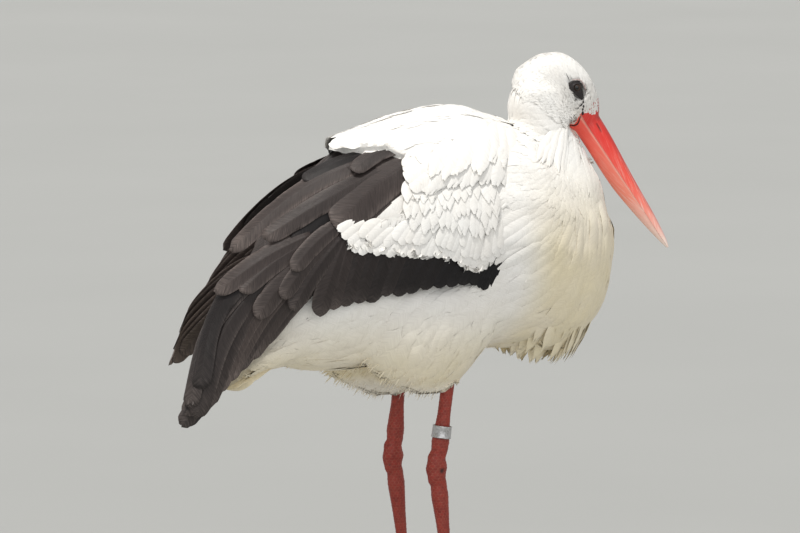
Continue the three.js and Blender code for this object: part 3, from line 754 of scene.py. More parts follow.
def vanes(lines, normals, half, outline, tone, columns=5, tip=1.0, cup=0.12, jag=0.1,
          tilt=0.0, shaft=0.0, thick=0.0, nicks=0.06):
    """Feathers on centre lines (N, S, 3). Returns points, faces and their attributes.

    tip is how round the end is (1 is a half circle), cup lowers the edges, jag makes the tip
    ragged, tilt lowers one edge below the other, shaft raises the rachis, thick gives the vane
    an underside, and nicks is how many places on its edges are nicked.
    """
    count, steps = lines.shape[:2]
    s = np.linspace(0, 1, steps) ** 0.85
    w = vane_columns(columns)
    columns = len(w)
    lengths = np.linalg.norm(np.diff(lines, axis=1), axis=2).sum(1)[:, None, None]
    ragged = jag * rng.random((count, 1, columns)) * s[None, :, None] ** 4
    bend = 1 - np.sqrt(1 - np.minimum(np.abs(w), 0.995) ** 2)
    share = s[None, :, None] * (1 - tip * half[:, None, None] / lengths * bend) - ragged
    share = np.clip(share, 0, 1)
    middle = gather(lines, share)
    up = unit(gather(normals, share))
    along = unit(gather(unit(np.gradient(lines, axis=1)), share))
    sideways = unit(np.cross(up, along))
    wide = (half[:, None] * outline(s)[None, :, 0])[:, :, None]
    torn = rng.random((count, steps, columns)) < nicks
    split = 1 - NICK * torn * (np.abs(w) > 0.97) * rng.random((count, steps, columns))
    reach = wide * w * split
    tilt = np.broadcast_to(np.asarray(tilt, float), (count,))[:, None, None]
    drop = cup * np.abs(w) ** 2 * wide - tilt * w * wide
    rib = shaft * np.exp(-(w / SHAFT_WIDTH) ** 2) * (1 - 0.7 * s[:, None])
    points = middle + sideways * reach[..., None] + up * (rib - drop)[..., None]
    faces = grid_faces(steps, columns)
    layers = [points]
    if thick:
        layers.append(points - up * (thick * (1 - 0.6 * s)[None, :, None, None]))
        faces = closed_vane(faces, steps, columns)
    stack = np.stack(layers, 1)
    vane, barb = np.empty(stack.shape), np.empty(stack.shape)
    vane[..., 0] = w
    vane[..., 1] = share[:, None]
    vane[..., 2] = np.asarray(tone)[:, None, None, None]
    barb[..., 0] = reach[:, None]
    barb[..., 1] = (share * lengths)[:, None]
    barb[..., 2] = (rng.random(count) * 900)[:, None, None, None]
    faces = repeat_faces(faces, stack[0].size // 3, count)
    return stack.reshape(-1, 3), faces, vane.reshape(-1, 3), barb.reshape(-1, 3)


def closed_vane(top, steps, columns):
    """The faces of a vane with an underside and a rim."""
    size = steps * columns
    rim = np.concatenate([
        np.arange(columns),
        np.arange(1, steps) * columns + columns - 1,
        (steps - 1) * columns + np.arange(columns - 2, -1, -1),
        np.arange(steps - 2, 0, -1) * columns,
    ])
    ahead = np.roll(rim, -1)
    edge = np.stack([ahead, rim, rim + size, ahead + size], -1)
    return np.vstack([top, top[:, ::-1] + size, edge])


PATCH = 0.003  # the size of one feather's patch on the skin's map


def patches(places, vane):
    """The feathers' UVs: each one is a small patch at its root's place on the skin's map."""
    per = len(vane) // len(places)
    own = np.repeat(places, per, axis=0)
    return own + (np.stack([(vane[:, 0] + 1) / 2, vane[:, 1]], -1) - 0.5) * PATCH


def cells(count, vane):
    """UVs with a cell of its own for each of a few large feathers."""
    side = math.ceil(math.sqrt(count))
    per = len(vane) // count
    order = np.repeat(np.arange(count), per)
    inside = np.stack([(vane[:, 0] + 1) / 2, vane[:, 1]], -1) * 0.9 + 0.05
    return (np.stack([order % side, order // side], -1) + inside) / side


# ---- the coat ----

def coat_regions(centres, kinds):
    """Which part of the coat each face of the skin belongs to."""
    x, _, z = centres.T
    names = np.array(FLESH)[kinds]
    region = np.full(len(centres), "side", dtype=object)
    region[(z > 560) & (x < 118)] = "back"
    region[(z < 425) & (x < 120)] = "under"
    region[x > 118] = "breast"
    region[np.isin(names, ["thigh_right", "thigh_left"])] = "thigh"
    region[names == "neck"] = "neck"
    region[(names == "trunk") & (x > 110) & (z > 545)] = "collar"
    region[names == "tail"] = "tail"
    region[np.char.startswith(names.astype(str), "wing")] = "arm"
    region[names == "head"] = "head"
    region[(region == "neck") & (x > 168) & (z < 612)] = "hackle"
    region[(region == "thigh") & (z < 352)] = "hem"
    close = np.linalg.norm(centres - BILL_ROOT, axis=1)
    region[(names == "head") & (close < 52)] = "face"
    return region


# region: spacing, length, half-width, how closely it clings, outline, raggedness
COAT = {
    "face": (2.1, 7, 1.35, 1, POINTED, 0.03), "head": (2.8, 13, 1.9, 1, POINTED, 0.03),
    "neck": (4.8, 34, 3.6, 0.97, SOFT, 0.03), "hackle": (5.2, 58, 4.4, 0.95, LANCE, 0.02),
    "collar": (5.2, 44, 5.2, 0.96, SOFT, 0.03), "back": (7.4, 42, 9, 0.97, ROUND, 0.05),
    "side": (6.6, 40, 6.5, 0.95, SOFT, 0.05), "arm": (6, 22, 6, 0.97, SOFT, 0.05),
    "breast": (5.6, 50, 4.4, 0.94, SOFT, 0.04), "under": (6, 48, 5.4, 0.86, SOFT, 0.05),
    "thigh": (5.2, 42, 4.2, 0.90, SOFT, 0.04), "hem": (5, 36, 3.4, 0.86, SOFT, 0.05),
    "tail": (6.5, 44, 6.5, 0.9, SOFT, 0.05),
}
COAT_ENDS = {"back": -60, "tail": -188}  # the coat stops here, where long feathers lie over it
HIDDEN_BY = ["coverts", "tertials", "secondaries", "primaries", "inner_tertials"]
WING_REACH, BODY_REACH, CLEAR = 45.0, 14.0, 0.5  # how far to look for what covers a place


def scatter(skin, chosen, spacing):
    """Evenly spread random places on the chosen faces of the skin."""
    quads = skin.faces[chosen]
    areas = 0.5 * np.linalg.norm(crossed(skin.points, quads), axis=1)
    tries = int(areas.sum() / spacing**2 * 9) + 1
    pick = rng.choice(len(chosen), size=tries, p=areas / areas.sum())
    u, v = rng.random((2, tries, 1))
    a, b, c, d = skin.points[quads[pick]].transpose(1, 0, 2)
    places = mix(mix(a, b, u), mix(d, c, u), v)
    cell = np.floor(places / spacing).astype(int)
    offset = np.abs(places / spacing - cell - 0.5).sum(1)
    order = np.argsort(offset)
    _, first = np.unique(cell[order], axis=0, return_index=True)
    keep = order[first]
    return places[keep], chosen[pick[keep]]


def blocked(trees, places, normals, reach):
    """True where a surface of one of the trees lies over the place."""
    over = [
        any(tree.ray_cast(Vector(place), Vector(way), reach)[0] is not None for tree in trees)
        for place, way in zip(places, normals)
    ]
    return np.array(over, bool)


def covered(skin, places, faces):
    """True where the dark wing feathers lie over the skin."""
    trees = []
    for wing in SIDES:
        for part in HIDDEN_BY:
            points, polygons, _ = joined([f"wing_{wing}_{part}"])
            trees.append(BVHTree.FromPolygons(points.tolist(), polygons))
    return blocked(trees, places, unit(crossed(skin.points, skin.faces[faces])), WING_REACH)


def shaded_by_body(skin, places, faces):
    """True where another part of the body lies right over the place."""
    normals = unit(crossed(skin.points, skin.faces[faces]))
    return blocked([skin.tree], places + normals * CLEAR, normals, BODY_REACH)


MOST = 190000  # triangles in one piece
COAT_STEPS = 7
# How much the coat's feathers differ: shares of the length, width and cling, then mm and slope.
VARY = dict(length=(0.78, 1.2), half=(0.8, 1.2), cling=0.10, proud=0.22, tilt=0.02)


def coat_piece(name, skin, roots, faces, material):
    _, length, half, cling, outline, jag = COAT[name]
    count = len(roots)
    lengths = length * rng.uniform(*VARY["length"], count)
    halves = half * rng.uniform(*VARY["half"], count)
    loose = np.clip(cling - VARY["cling"] * rng.random(count), 0, 1)
    lines, normals = march(skin, roots, lengths, COAT_STEPS, loose)
    over = bare(lines.reshape(-1, 3)).reshape(count, COAT_STEPS)
    if over.any():
        lengths = lengths * np.where(over.any(1), np.argmax(over, 1) / (COAT_STEPS - 0.5), 1)
        lines, normals = march(skin, roots, np.maximum(lengths, 1.0), COAT_STEPS, loose)
    proud = rng.uniform(-VARY["proud"], VARY["proud"], count) * min(1, length / 30)
    share = np.linspace(0, 1, COAT_STEPS)[None, :, None]
    lines = lines + normals * proud[:, None, None] * share
    tilt = rng.uniform(-VARY["tilt"], VARY["tilt"], count)
    tone = rng.random(count)
    made = vanes(lines, normals, halves, outline, tone, jag=jag, tilt=tilt, cup=0.06)
    add_coat(f"coat_{name}", made, skin.unwrap(roots, skin.face_kind[faces]), material)


def add_coat(name, made, places, material):
    """Adds feathers as one or more pieces, none with more triangles than a piece may have."""
    points, quads, vane, barb = made
    count = len(places)
    parts = math.ceil(2 * len(quads) / MOST)
    uv, warm = patches(places, vane), warmth(points)
    p, q = len(points) // count, len(quads) // count
    for k in range(parts):
        first, last = count * k // parts, count * (k + 1) // parts
        some = slice(first * p, last * p)
        add_mesh(
            name if parts == 1 else f"{name}_{k + 1}",
            points[some], quads[first * q : last * q] - first * p, material, "plumage",
            uv[some], vane=vane[some], barb=barb[some], warm=warm[some],
        )


# Long soft feathers over the coat, which give it its broad folds.
# regions, highest root, spacing, length, half-width, how far they stand out
FOLDS = {
    "coat_flank": (["side", "under", "thigh", "hem"], 452, 15.0, 74.0, 9.5, 1.5),
    "coat_chest": (["breast", "collar"], 545, 15.0, 105.0, 8.5, 2.2),
}


FOLD_STEPS, FOLD_REAR, FOLD_CLING = 14, -165, 0.95


def make_folds(skin, region, material):
    for name, (regions, top, spacing, length, half, proud) in FOLDS.items():
        roots, faces = scatter(skin, np.flatnonzero(np.isin(region.astype(str), regions)), spacing)
        keep = (roots[:, 2] < top) & (roots[:, 0] > FOLD_REAR)
        keep &= ~shaded_by_body(skin, roots, faces)
        roots, faces = roots[keep], faces[keep]
        count = len(roots)
        lengths = length * rng.uniform(0.7, 1.15, count)
        lines, normals = march(skin, roots, lengths, FOLD_STEPS, np.full(count, FOLD_CLING))
        swell = np.sin(np.pi * np.linspace(0, 0.97, FOLD_STEPS) ** 0.9)
        lines = lines + normals * (proud * rng.uniform(0.3, 1.0, (count, 1)) * swell)[..., None]
        made = vanes(
            lines, normals, half * rng.uniform(0.7, 1.2, count), LANCE, rng.random(count), 9,
            tip=0.6, jag=0.04, cup=0.14, tilt=rng.uniform(-0.04, 0.04, count),
        )
        add_coat(name, made, skin.unwrap(roots, skin.face_kind[faces]), material)


# turn round the neck from straight ahead: height of the longest plumes' tips
HACKLE_TIPS = stations([
    [-120, 584], [-90, 572], [-65, 545], [-40, 508], [-20, 494], [20, 494], [60, 530], [120, 584],
])
HACKLES = dict(count=190, steps=16, turn=112, root=(168, -14, 34), tip=(150, -8, 92))


def make_hackles(skin, material):
    """The long pointed plumes that hang from the neck over the breast."""
    count, steps = HACKLES["count"], HACKLES["steps"]
    turn = np.sort(rng.uniform(-HACKLES["turn"], HACKLES["turn"], count))
    angle = np.radians(turn)
    way = np.stack([np.cos(angle), np.sin(angle)], -1)
    reach = 1 - 0.55 * rng.random(count) ** 1.2
    tip_z = mix(604, HACKLE_TIPS(turn)[:, 0], reach)
    root_z = np.minimum(tip_z + rng.uniform(52, 70, count), 612)
    ends = []
    for (x, y, away), z in ((HACKLES["root"], root_z), (HACKLES["tip"], tip_z)):
        ends.append(nearest(skin.tree, np.column_stack([[x + CENTRE_X, y] + way * away, z])))
    (starts, _, found), (tips, _, _) = ends
    t = np.linspace(0, 1, steps)
    path = mix(starts[:, None], tips[:, None], t[None, :, None])
    place, normal, _ = nearest(skin.tree, path.reshape(-1, 3))
    place, normal = place.reshape(count, steps, 3), normal.reshape(count, steps, 3)
    for _ in range(6):
        place[:, 1:-1] = (place[:, :-2] + 2 * place[:, 1:-1] + place[:, 2:]) / 4
        normal[:, 1:-1] = unit(normal[:, :-2] + 2 * normal[:, 1:-1] + normal[:, 2:])
    height = 1.2 + 4.6 * np.sin(np.pi * t**1.1 * 0.8) * rng.uniform(0.5, 1.0, (count, 1))
    height = height + 1.6 * (reach[:, None] < 0.8)
    lines = place + normal * height[..., None]
    clear = ~bare(lines.reshape(-1, 3)).reshape(count, steps).any(1)
    lines, normal, found, starts = lines[clear], normal[clear], found[clear], starts[clear]
    count = len(lines)
    made = vanes(
        lines, normal, rng.uniform(3.6, 5.4, count), LANCE, rng.random(count), 9,
        tip=0.5, jag=0.05, cup=0.18, tilt=rng.uniform(-0.06, 0.06, count),
    )
    add_coat("hackle_plumes", made, skin.unwrap(starts, skin.face_kind[found]), material)


WISPS = dict(regions=["under", "thigh", "hem"], spacing=4.6, top=375, rear=-150, half=0.7)


def make_wisps(skin, region, material):
    """Short loose plumes along the lower edges of the thighs and of the belly."""
    chosen = np.flatnonzero(np.isin(region.astype(str), WISPS["regions"]))
    roots, _ = scatter(skin, chosen, WISPS["spacing"])
    _, normal, _ = nearest(skin.tree, roots)
    keep = (normal[:, 2] < -0.5) & (roots[:, 2] < WISPS["top"]) & (roots[:, 0] > WISPS["rear"])
    roots, normal = roots[keep], normal[keep]
    count = len(roots)
    way = lie(roots) + [-0.4, 0, -0.1] + 0.15 * normal + rng.normal(0, 0.20, (count, 3))
    tips = roots + unit(way) * (7 + 12 * rng.random((count, 1)) ** 2)
    made, places = hanging(skin, roots, tips, 0.10, WISPS["half"])
    add_coat("hem_wisps", made, places, material)


UNDER_WINGS = ("back", "side", "under", "thigh", "tail")
BY_THE_BILL = ("face", "head", "neck", "hackle")


def make_coat(skin):
    region = coat_regions(skin.points[skin.faces].mean(1), skin.face_kind)
    fine = white_plumage("white_fine", 1.6)
    broad = white_plumage("white_body", 0.55)
    for name, (spacing, *_) in COAT.items():
        roots, faces = scatter(skin, np.flatnonzero(region == name), spacing)
        keep = ~shaded_by_body(skin, roots, faces)
        if name in UNDER_WINGS:
            keep &= ~covered(skin, roots, faces)
        if name in COAT_ENDS:
            keep &= roots[:, 0] > COAT_ENDS[name]
        if name in BY_THE_BILL:
            keep &= ~bare(roots)
        material = fine if name in ("face", "head", "neck") else broad
        coat_piece(name, skin, roots[keep], faces[keep], material)
    make_folds(skin, region, broad)
    make_hackles(skin, broad)
    make_wisps(skin, region, broad)


# ---- wings ----

# The shell that a folded wing lies on. x: height of its middle, half-height, half-width.
CLOAK = stations([
    [-335, 284, 30, 50], [-313, 306, 44, 54], [-290, 338, 80, 60], [-256, 398, 105, 68],
    [-200, 451, 112, 82], [-140, 481, 118, 94], [-80, 490, 122, 101], [-20, 496, 128, 106],
    [20, 497, 131, 107], [60, 497, 131, 103], [90, 495, 128, 92], [130, 492, 122, 88],
])
STEEPEST = 0.985
LONG_STEPS = 24  # stations along a long feather
# The listed light of the dark feathers is painted light: a lit feather gets a paler, browner
# colour.
PAINTED_LIGHT_SHARE = 0.8  # how much of its listed light a feather that lies singly shows


def on_shell(x, z, side):
    middle, tall, wide = np.moveaxis(CLOAK(x), -1, 0)
    sine = np.clip((z - middle) / tall, -STEEPEST, STEEPEST)
    y = side * wide * np.sqrt(1 - sine**2)
    return np.stack([x + CENTRE_X, y, middle + tall * sine], -1)


def shell_normals(x, z, side):
    step = 4.0
    fore = on_shell(x + step, z, side) - on_shell(x - step, z, side)
    raised = on_shell(x, z + step, side) - on_shell(x, z - step, side)
    return unit(np.cross(raised, fore) * side)


def shell_feathers(feathers, side, steps=LONG_STEPS):
    """Centre lines and normals of feathers, from rows of (root, tip, bow, depth, tip depth)."""
    f = np.asarray(feathers, float)
    t = np.linspace(0, 1, steps)[None]
    x0, z0, x1, z1, bow, deep, tip = (f[:, k : k + 1] for k in range(7))
    length = np.hypot(x1 - x0, z1 - z0)
    arch = bow * length * np.sin(np.pi * t)
    x = mix(x0, x1, t) + arch * (z1 - z0) / length
    z = mix(z0, z1, t) - arch * (x1 - x0) / length
    normals = shell_normals(x, z, side)
    return on_shell(x, z, side) - normals * mix(deep, tip, t)[..., None], normals


def spread(table, count):
    """Points spread evenly along a line of listed points."""
    table = np.array(table, float)
    walked = np.concatenate([[0], np.cumsum(np.linalg.norm(np.diff(table, axis=0), axis=1))])
    q = np.linspace(0, walked[-1], count)
    return np.stack([np.interp(q, walked, table[:, k]) for k in range(table.shape[1])], -1)


def fan(roots, tips, count, bow, depth, tip_depth, step):
    """Rows for feathers between the listed roots and tips, each under the one before."""
    order = np.arange(count) * step
    bows = np.linspace(*bow, count)
    rest = np.stack([bows, depth + order, tip_depth + order], -1)
    return np.hstack([spread(roots, count), spread(tips, count), rest])


# The big dark feathers of each wing that lie singly, from the top of the pile down.
# root x, z, tip x, z, bow, depth, tip depth, half-width, how lit it is painted: painted light as a
# paler brown
TERTIALS = {
    "right": [
        [-4, 604, -113, 577, 0.08, 0.4, -2.2, 11, 0.55],
        [-30, 592, -147, 518, 0.05, 1.6, -1.4, 23, 0.80],
        [-38, 592, -222, 507, 0.04, 3.0, -0.2, 13.5, 0.62],
        [-46, 598, -252, 493, 0.10, 3.8, 0.2, 12.5, 0.78],
        [-38, 578, -117, 523, 0.02, 4.0, 1.4, 10, 0.75],
        [-58, 600, -166, 571, 0.06, 4.4, 2.4, 11, 0.15],
        [-60, 584, -194, 508, 0.04, 5.2, 3.0, 15, 0.10],
        [-50, 572, -150, 512, 0.03, 6.0, 4.0, 15, 0.05],
    ],
    "left": [
        [-10, 592, -116, 558, 0.05, 0.8, -1.0, 12, 0.55],
        [-30, 588, -141, 516, 0.05, 1.6, -1.2, 19, 0.75],
        [-38, 586, -206, 478, 0.07, 2.6, -0.2, 14, 0.70],
        [-40, 576, -174, 490, 0.04, 3.6, 0.8, 14, 0.60],
        [-38, 566, -117, 517, 0.02, 4.2, 1.6, 11, 0.6],
        [-40, 590, -180, 500, 0.05, 4.8, 2.4, 14, 0.2],
    ],
}
COVERTS = {
    "right": [
        [-138, 524, -196, 472, 0.05, 0.6, -2.0, 10.5, 0.72],
        [-142, 514, -208, 441, 0.05, 1.4, -1.2, 10.5, 0.66],
        [-132, 514, -196, 427, 0.05, 1.6, -0.8, 11.5, 0.55],
        [-132, 514, -162, 418, 0.04, 2.0, -0.4, 13, 0.62],
        [-172, 512, -272, 448, 0.05, 2.6, -1.2, 12.5, 0.78],
        [-168, 508, -251, 449, 0.05, 3.2, -0.2, 12, 0.70],
        [-160, 500, -236, 420, 0.05, 3.4, 0.2, 12.5, 0.74],
    ],
    "left": [
        [-134, 512, -190, 464, 0.05, 0.8, -1.6, 11, 0.7],
        [-134, 506, -196, 438, 0.05, 1.6, -0.8, 12, 0.65],
        [-130, 506, -166, 420, 0.04, 2.2, -0.2, 13, 0.6],
    ],
}
COVERT_ROOTS = [[-128, 512], [-100, 506], [-62, 499], [-14, 490], [28, 482], [60, 484], [84, 486]]
COVERT_TIPS = [[-118, 431], [-70, 437], [-14, 445], [24, 445], [42, 441], [54, 442]]
# part: roots, tips, count, bow, depth, tip depth, step between feathers, half-width, how lit each
# is painted: painted light from the first feather to the last
FANS = {
    "right": {
        "coverts": (
            COVERT_ROOTS, [[-146, 424], *COVERT_TIPS],
            14, (0.04, 0.04), 2.0, 0.6, 0.03, 13.5, (0.55, 0.12, 0.0),
        ),
        "secondaries": (
            [[-150, 518], [-150, 512], [-150, 504], [-148, 496], [-144, 490], [-140, 484]],
            [[-300, 338], [-308, 322], [-303, 308], [-292, 316], [-276, 332], [-254, 352],
             [-226, 384]],
            9, (0.18, 0.05), 4.6, 1.6, 0.75, 13.0, (0.22, 0.95, 0.6),
        ),
        "primaries": (
            [[-196, 470], [-192, 460], [-188, 448], [-184, 436]],
            [[-314, 322], [-318, 300], [-314, 292], [-300, 304]],
            5, (0.12, 0.04), 11.5, 8.6, 0.6, 11, (0.55, 0.35, 0.2),
        ),
    },
    "left": {
        "coverts": (
            COVERT_ROOTS, [[-140, 424], *COVERT_TIPS],
            14, (0.04, 0.04), 2.0, 0.6, 0.03, 13.5, (0.55, 0.12, 0.0),
        ),
        "secondaries": (
            [[-128, 510], [-132, 504], [-134, 497], [-134, 488], [-132, 478], [-130, 470]],
            [[-200, 462], [-228, 438], [-246, 410], [-254, 388], [-244, 379], [-200, 402]],
            9, (0.10, 0.04), 5.0, 2.6, 0.7, 14, (1.0, 0.9, 0.7),
        ),
        "primaries": (
            [[-160, 466], [-160, 456], [-160, 446], [-160, 438]],
            [[-268, 408], [-294, 378], [-303, 356], [-272, 366]],
            6, (0.06, 0.02), 10.2, 9.0, 0.6, 12.5, (1.0, 1.0, 0.8),
        ),
    },
}
ALULA = [
    [60, 478, 51, 440, 0.0, 0.4, -0.6, 8, 0.0],
    [50, 476, 38, 438, 0.0, 1.0, 0.0, 8, 0.0],
    [44, 474, 32, 441, 0.0, 1.4, 0.4, 6, 0.0],
]
# The height of the trunk's back, where the inner tertials lie along it.
RUMP = stations([
    [-215, 456], [-205, 470], [-170, 515], [-130, 556], [-80, 592], [-30, 610], [20, 620],
])
# from x, to x, side, half-width
INNER_TERTIALS = np.array([[-44, -196, 16, 15], [-40, -208, 5, 15], [-48, -186, 28, 14]], float)


def big_feathers(name, lines, normals, half, material, slot, tone, node=None, tilt=0.0):
    made = vanes(
        lines, normals, half, QUILL, tone,
        columns=11, cup=0.22, jag=0.012, tilt=tilt, shaft=0.6, thick=0.5,
    )
    points, faces, vane, barb = made
    piece = add_mesh(
        name, points, faces, material, slot, cells(len(lines), vane),
        vane=vane, barb=barb, warm=warmth(points),
    )
    if node:
        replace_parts(piece, node)


def flat_normals(lines, across):
    """Upward normals of feathers with this way across them."""
    normals = unit(np.cross(unit(np.gradient(lines, axis=1)), across))
    return normals * np.sign(normals[..., 2:3])


def make_wing(name, side, dark):
    flight = "flight_feathers"
    for part, table in (("tertials", TERTIALS), ("covert_row", COVERTS), ("alula", {name: ALULA})):
        rows = np.array(table[name], float)
        lines, normals = shell_feathers(rows[:, :7], side)
        node = f"wing_{name}_tertials" if part == "tertials" else None
        # tone: each feather's listed painted light
        tone = PAINTED_LIGHT_SHARE * rows[:, 8]
        big_feathers(
            f"{part}_{name}", lines, normals, rows[:, 7], dark, flight, tone, node, -0.05 * side
        )
    for part, (roots, tips, count, bow, depth, tip_depth, step, half, painted_light) in FANS[name].items():
        rows = fan(roots, tips, count, bow, depth, tip_depth, step)
        rows[:, 2:4] += rng.normal(0, 1.3, (count, 2))
        lines, normals = shell_feathers(rows, side)
        # tone: the listed painted light along the fan, varied at random
        tone = np.interp(np.linspace(0, 1, count), [0, 0.5, 1], painted_light) * rng.uniform(0.55, 1.1, count)
        halves = half * rng.uniform(0.92, 1.08, count)
        node = f"wing_{name}_{part}"
        big_feathers(
            f"{part}_{name}", lines, normals, halves, dark, flight, tone, node, -0.06 * side
        )
    start, end, off, half = (column[:, None] for column in INNER_TERTIALS.T)
    x = mix(start, end, np.linspace(0, 1, LONG_STEPS)[None])
    z = RUMP(x)[..., 0] + 6 - 1.2 * np.arange(len(off))[:, None] - 0.012 * off**2
    y = side * off * (1.1 - 0.3 * (x + 40) / -140)
    lines = np.stack([x + CENTRE_X, y, z], -1)
    # the inner tertials' tones are painted light too
    big_feathers(
        f"inner_tertials_{name}", lines, flat_normals(lines, [0, 1.0, 0.35 * side]), half[:, 0],
        dark, flight, np.array([0.5, 0.4, 0.3]), f"wing_{name}_inner_tertials",
    )


# ---- white feathers that lie on the wings ----

# Lines of tips: the cape's edge, from its rear round the lobe to the shoulder, and the coverts'.
CAPE_REAR = {
    "right": [[-118, 606], [-122, 599], [-108, 600], [-92, 605], [-74, 609], [-54, 613]],
    "left": [[-92, 604], [-90, 598], [-80, 600], [-66, 605], [-54, 609], [-40, 613]],
}
CAPE_LOBE = [[-30, 599], [-44, 590], [-54, 580], [-58, 568], [-52, 558], [-42, 552]]
CAPE_EDGE = [[-36, 551], [-14, 553], [6, 555], [28, 558], [52, 556], [72, 555]]
CAPE_OVER = np.array(CAPE_EDGE) + [8, 15]
COVERT_EDGE = [
    [-143, 513], [-128, 492], [-89, 486], [-49, 484], [-13, 478], [3, 470], [23, 461], [40, 468],
    [56, 478],
]
COVERT_SECOND = np.array(COVERT_EDGE[1:]) + [6, 12]
COVERT_THIRD = [[-58, 508], [-30, 508], [0, 504], [30, 500], [52, 504]]
COVERT_FOURTH = [[-58, 526], [-30, 528], [0, 524], [30, 522], [52, 522]]
COVERT_FIFTH = [[-54, 543], [-30, 543], [0, 540], [30, 540], [50, 540]]
COVERT_REAR = [[-124, 510], [-112, 520], [-96, 530], [-76, 538]]
RUFFLED, RAGGED = dict(cup=0.15, jag=0.07), dict(jag=0.06)
REAR_ROW = (18, (56, 48), (10, 4), 0.05, -3.5, -3, 11, 2)
# name: tips, count, reach, rise, bow, depth, tip depth, half-width, wobble of the tips, shape
WHITE_ROWS = {
    "scapulars_lobe": (CAPE_LOBE, 16, (44, 34), (10, 22), 0.03, -7, -4, 11, 2, {}),
    "scapulars_edge": (CAPE_EDGE, 20, (28, 16), (32, 38), 0.02, -9, -3, 9, 2.5, RAGGED),
    "scapulars_over": (CAPE_OVER, 18, (30, 16), (32, 36), 0.02, -10, -8, 9, 4, RAGGED),
    "coverts_white": (COVERT_EDGE, 27, (28, 4), (16, 34), 0.03, 0.2, -2.0, 7.5, 1.4, {}),
    "coverts_second": (COVERT_SECOND, 24, (28, 4), (18, 34), 0.03, -0.4, -2.4, 7.5, 3, {}),
    "coverts_third": (COVERT_THIRD, 20, (14, 2), (28, 34), 0.03, -0.6, -2.4, 7.4, 4, RUFFLED),
    "coverts_fourth": (COVERT_FOURTH, 18, (12, 2), (28, 32), 0.03, -0.8, -2.6, 7.4, 4, RUFFLED),
    "coverts_fifth": (COVERT_FIFTH, 16, (10, 2), (24, 28), 0.03, -1.0, -2.8, 7.4, 4, RUFFLED),
    "coverts_smooth": (COVERT_REAR, 6, (76, 46), (28, 14), 0.02, 4.6, 3.6, 13, 1, {}),
}
ROW_STEPS, HIGHEST_ROOT = 12, 616


def white_row(line, count, reach, rise_up, bow, depth, tip_depth, half, wobble):
    """A row of feathers with their tips on a line, and roots by reach and rise_up from them."""
    tips = spread(line, count) + rng.normal(0, wobble, (count, 2))
    reach = np.linspace(*reach, count) * rng.uniform(0.9, 1.1, count)
    rise_up = np.linspace(*rise_up, count) * rng.uniform(0.9, 1.1, count)
    roots = tips + np.stack([reach, rise_up], -1)
    roots[:, 1] = np.minimum(roots[:, 1], HIGHEST_ROOT)
    jitter = rng.uniform(-0.3, 0.3, count)
    one = np.ones(count)
    rest = np.stack([bow * one, depth + jitter, tip_depth + jitter, half * one], -1)
    return np.hstack([roots, tips, rest])


def make_white_rows(skin, material):
    rear = {wing: white_row(line, *REAR_ROW) for wing, line in CAPE_REAR.items()}
    rows = {name: (white_row(*row), shape) for name, (*row, shape) in WHITE_ROWS.items()}
    for wing, side in SIDES.items():
        for name, (table, shape) in {"scapulars_rear": (rear[wing], {}), **rows}.items():
            lines, normals = shell_feathers(table[:, :7], side, ROW_STEPS)
            half = table[:, 7] * rng.uniform(0.85, 1.15, len(table))
            settings = {**dict(columns=9, cup=0.16, jag=0.04, nicks=0.08), **shape}
            outline = SOFT if shape else ROUND
            made = vanes(lines, normals, half, outline, rng.random(len(table)), **settings)
            _, _, face = nearest(skin.tree, lines[:, 0])
            places = skin.unwrap(lines[:, 0], skin.face_kind[face])
            add_coat(f"{name}_{wing}", made, places, material)


# ---- plumes that hang free ----

def hanging(skin, roots, tips, outward, half, steps=9):
    """Plumes from the skin by the roots to the tips, bowed outwards by a share of their length."""
    start, normal, face = nearest(skin.tree, roots)
    t = np.linspace(0, 1, steps)[None, :, None]
    length = np.linalg.norm(tips - start, axis=1)[:, None]
    bend = mix(start, tips, 0.45) + normal * outward * length
    a, b, c = start[:, None], bend[:, None], tips[:, None]
    lines = a * (1 - t) ** 2 + b * 2 * t * (1 - t) + c * t**2
    normals = np.repeat(normal[:, None], steps, 1)
    tangents = unit(np.gradient(lines, axis=1))
    normals = unit(normals - tangents * (normals * tangents).sum(-1, keepdims=True))
    count = len(roots)
    made = vanes(
        lines, normals, half * rng.uniform(0.75, 1.2, count), POINTED, rng.random(count),
        jag=0.04, tilt=rng.uniform(-0.2, 0.2, count), cup=0.15,
    )
    return made, skin.unwrap(start, skin.face_kind[face])


# x: height of the longest tips, half-width
FRINGE_LINE = stations([
    [104, 352, 60], [120, 344, 62], [140, 337, 60], [165, 333, 54], [185, 336, 44], [202, 350, 30],
    [216, 366, 16],
])
FRINGE = dict(count=440, start=104, long=112, high=42, roots=(44, 62), bow=0.12, half=6.4)
TAIL = dict(count=12, start=-140, root_z=396, end=-264, tip_z=337, arch=7.0, half=13.5)


def make_fringe(skin, material):
    """The long plumes under the breast."""
    count = FRINGE["count"]
    x = FRINGE["start"] + FRINGE["long"] * rng.random(count) ** 0.85
    low, half = FRINGE_LINE(x).T
    q = rng.uniform(-1, 1, count)
    above = rng.random(count) ** 1.3 * FRINGE["high"]
    z = low + above + 26 * np.abs(q) ** 3
    tips = np.stack([x + CENTRE_X, q * half * (1 + 0.008 * above) - 4, z], -1)
    roots = tips + np.stack([10 + 0 * q, 10 * q, rng.uniform(*FRINGE["roots"], count)], -1)
    made, places = hanging(skin, roots, tips, FRINGE["bow"], FRINGE["half"])
    add_coat("breast_fringe", made, places, material)


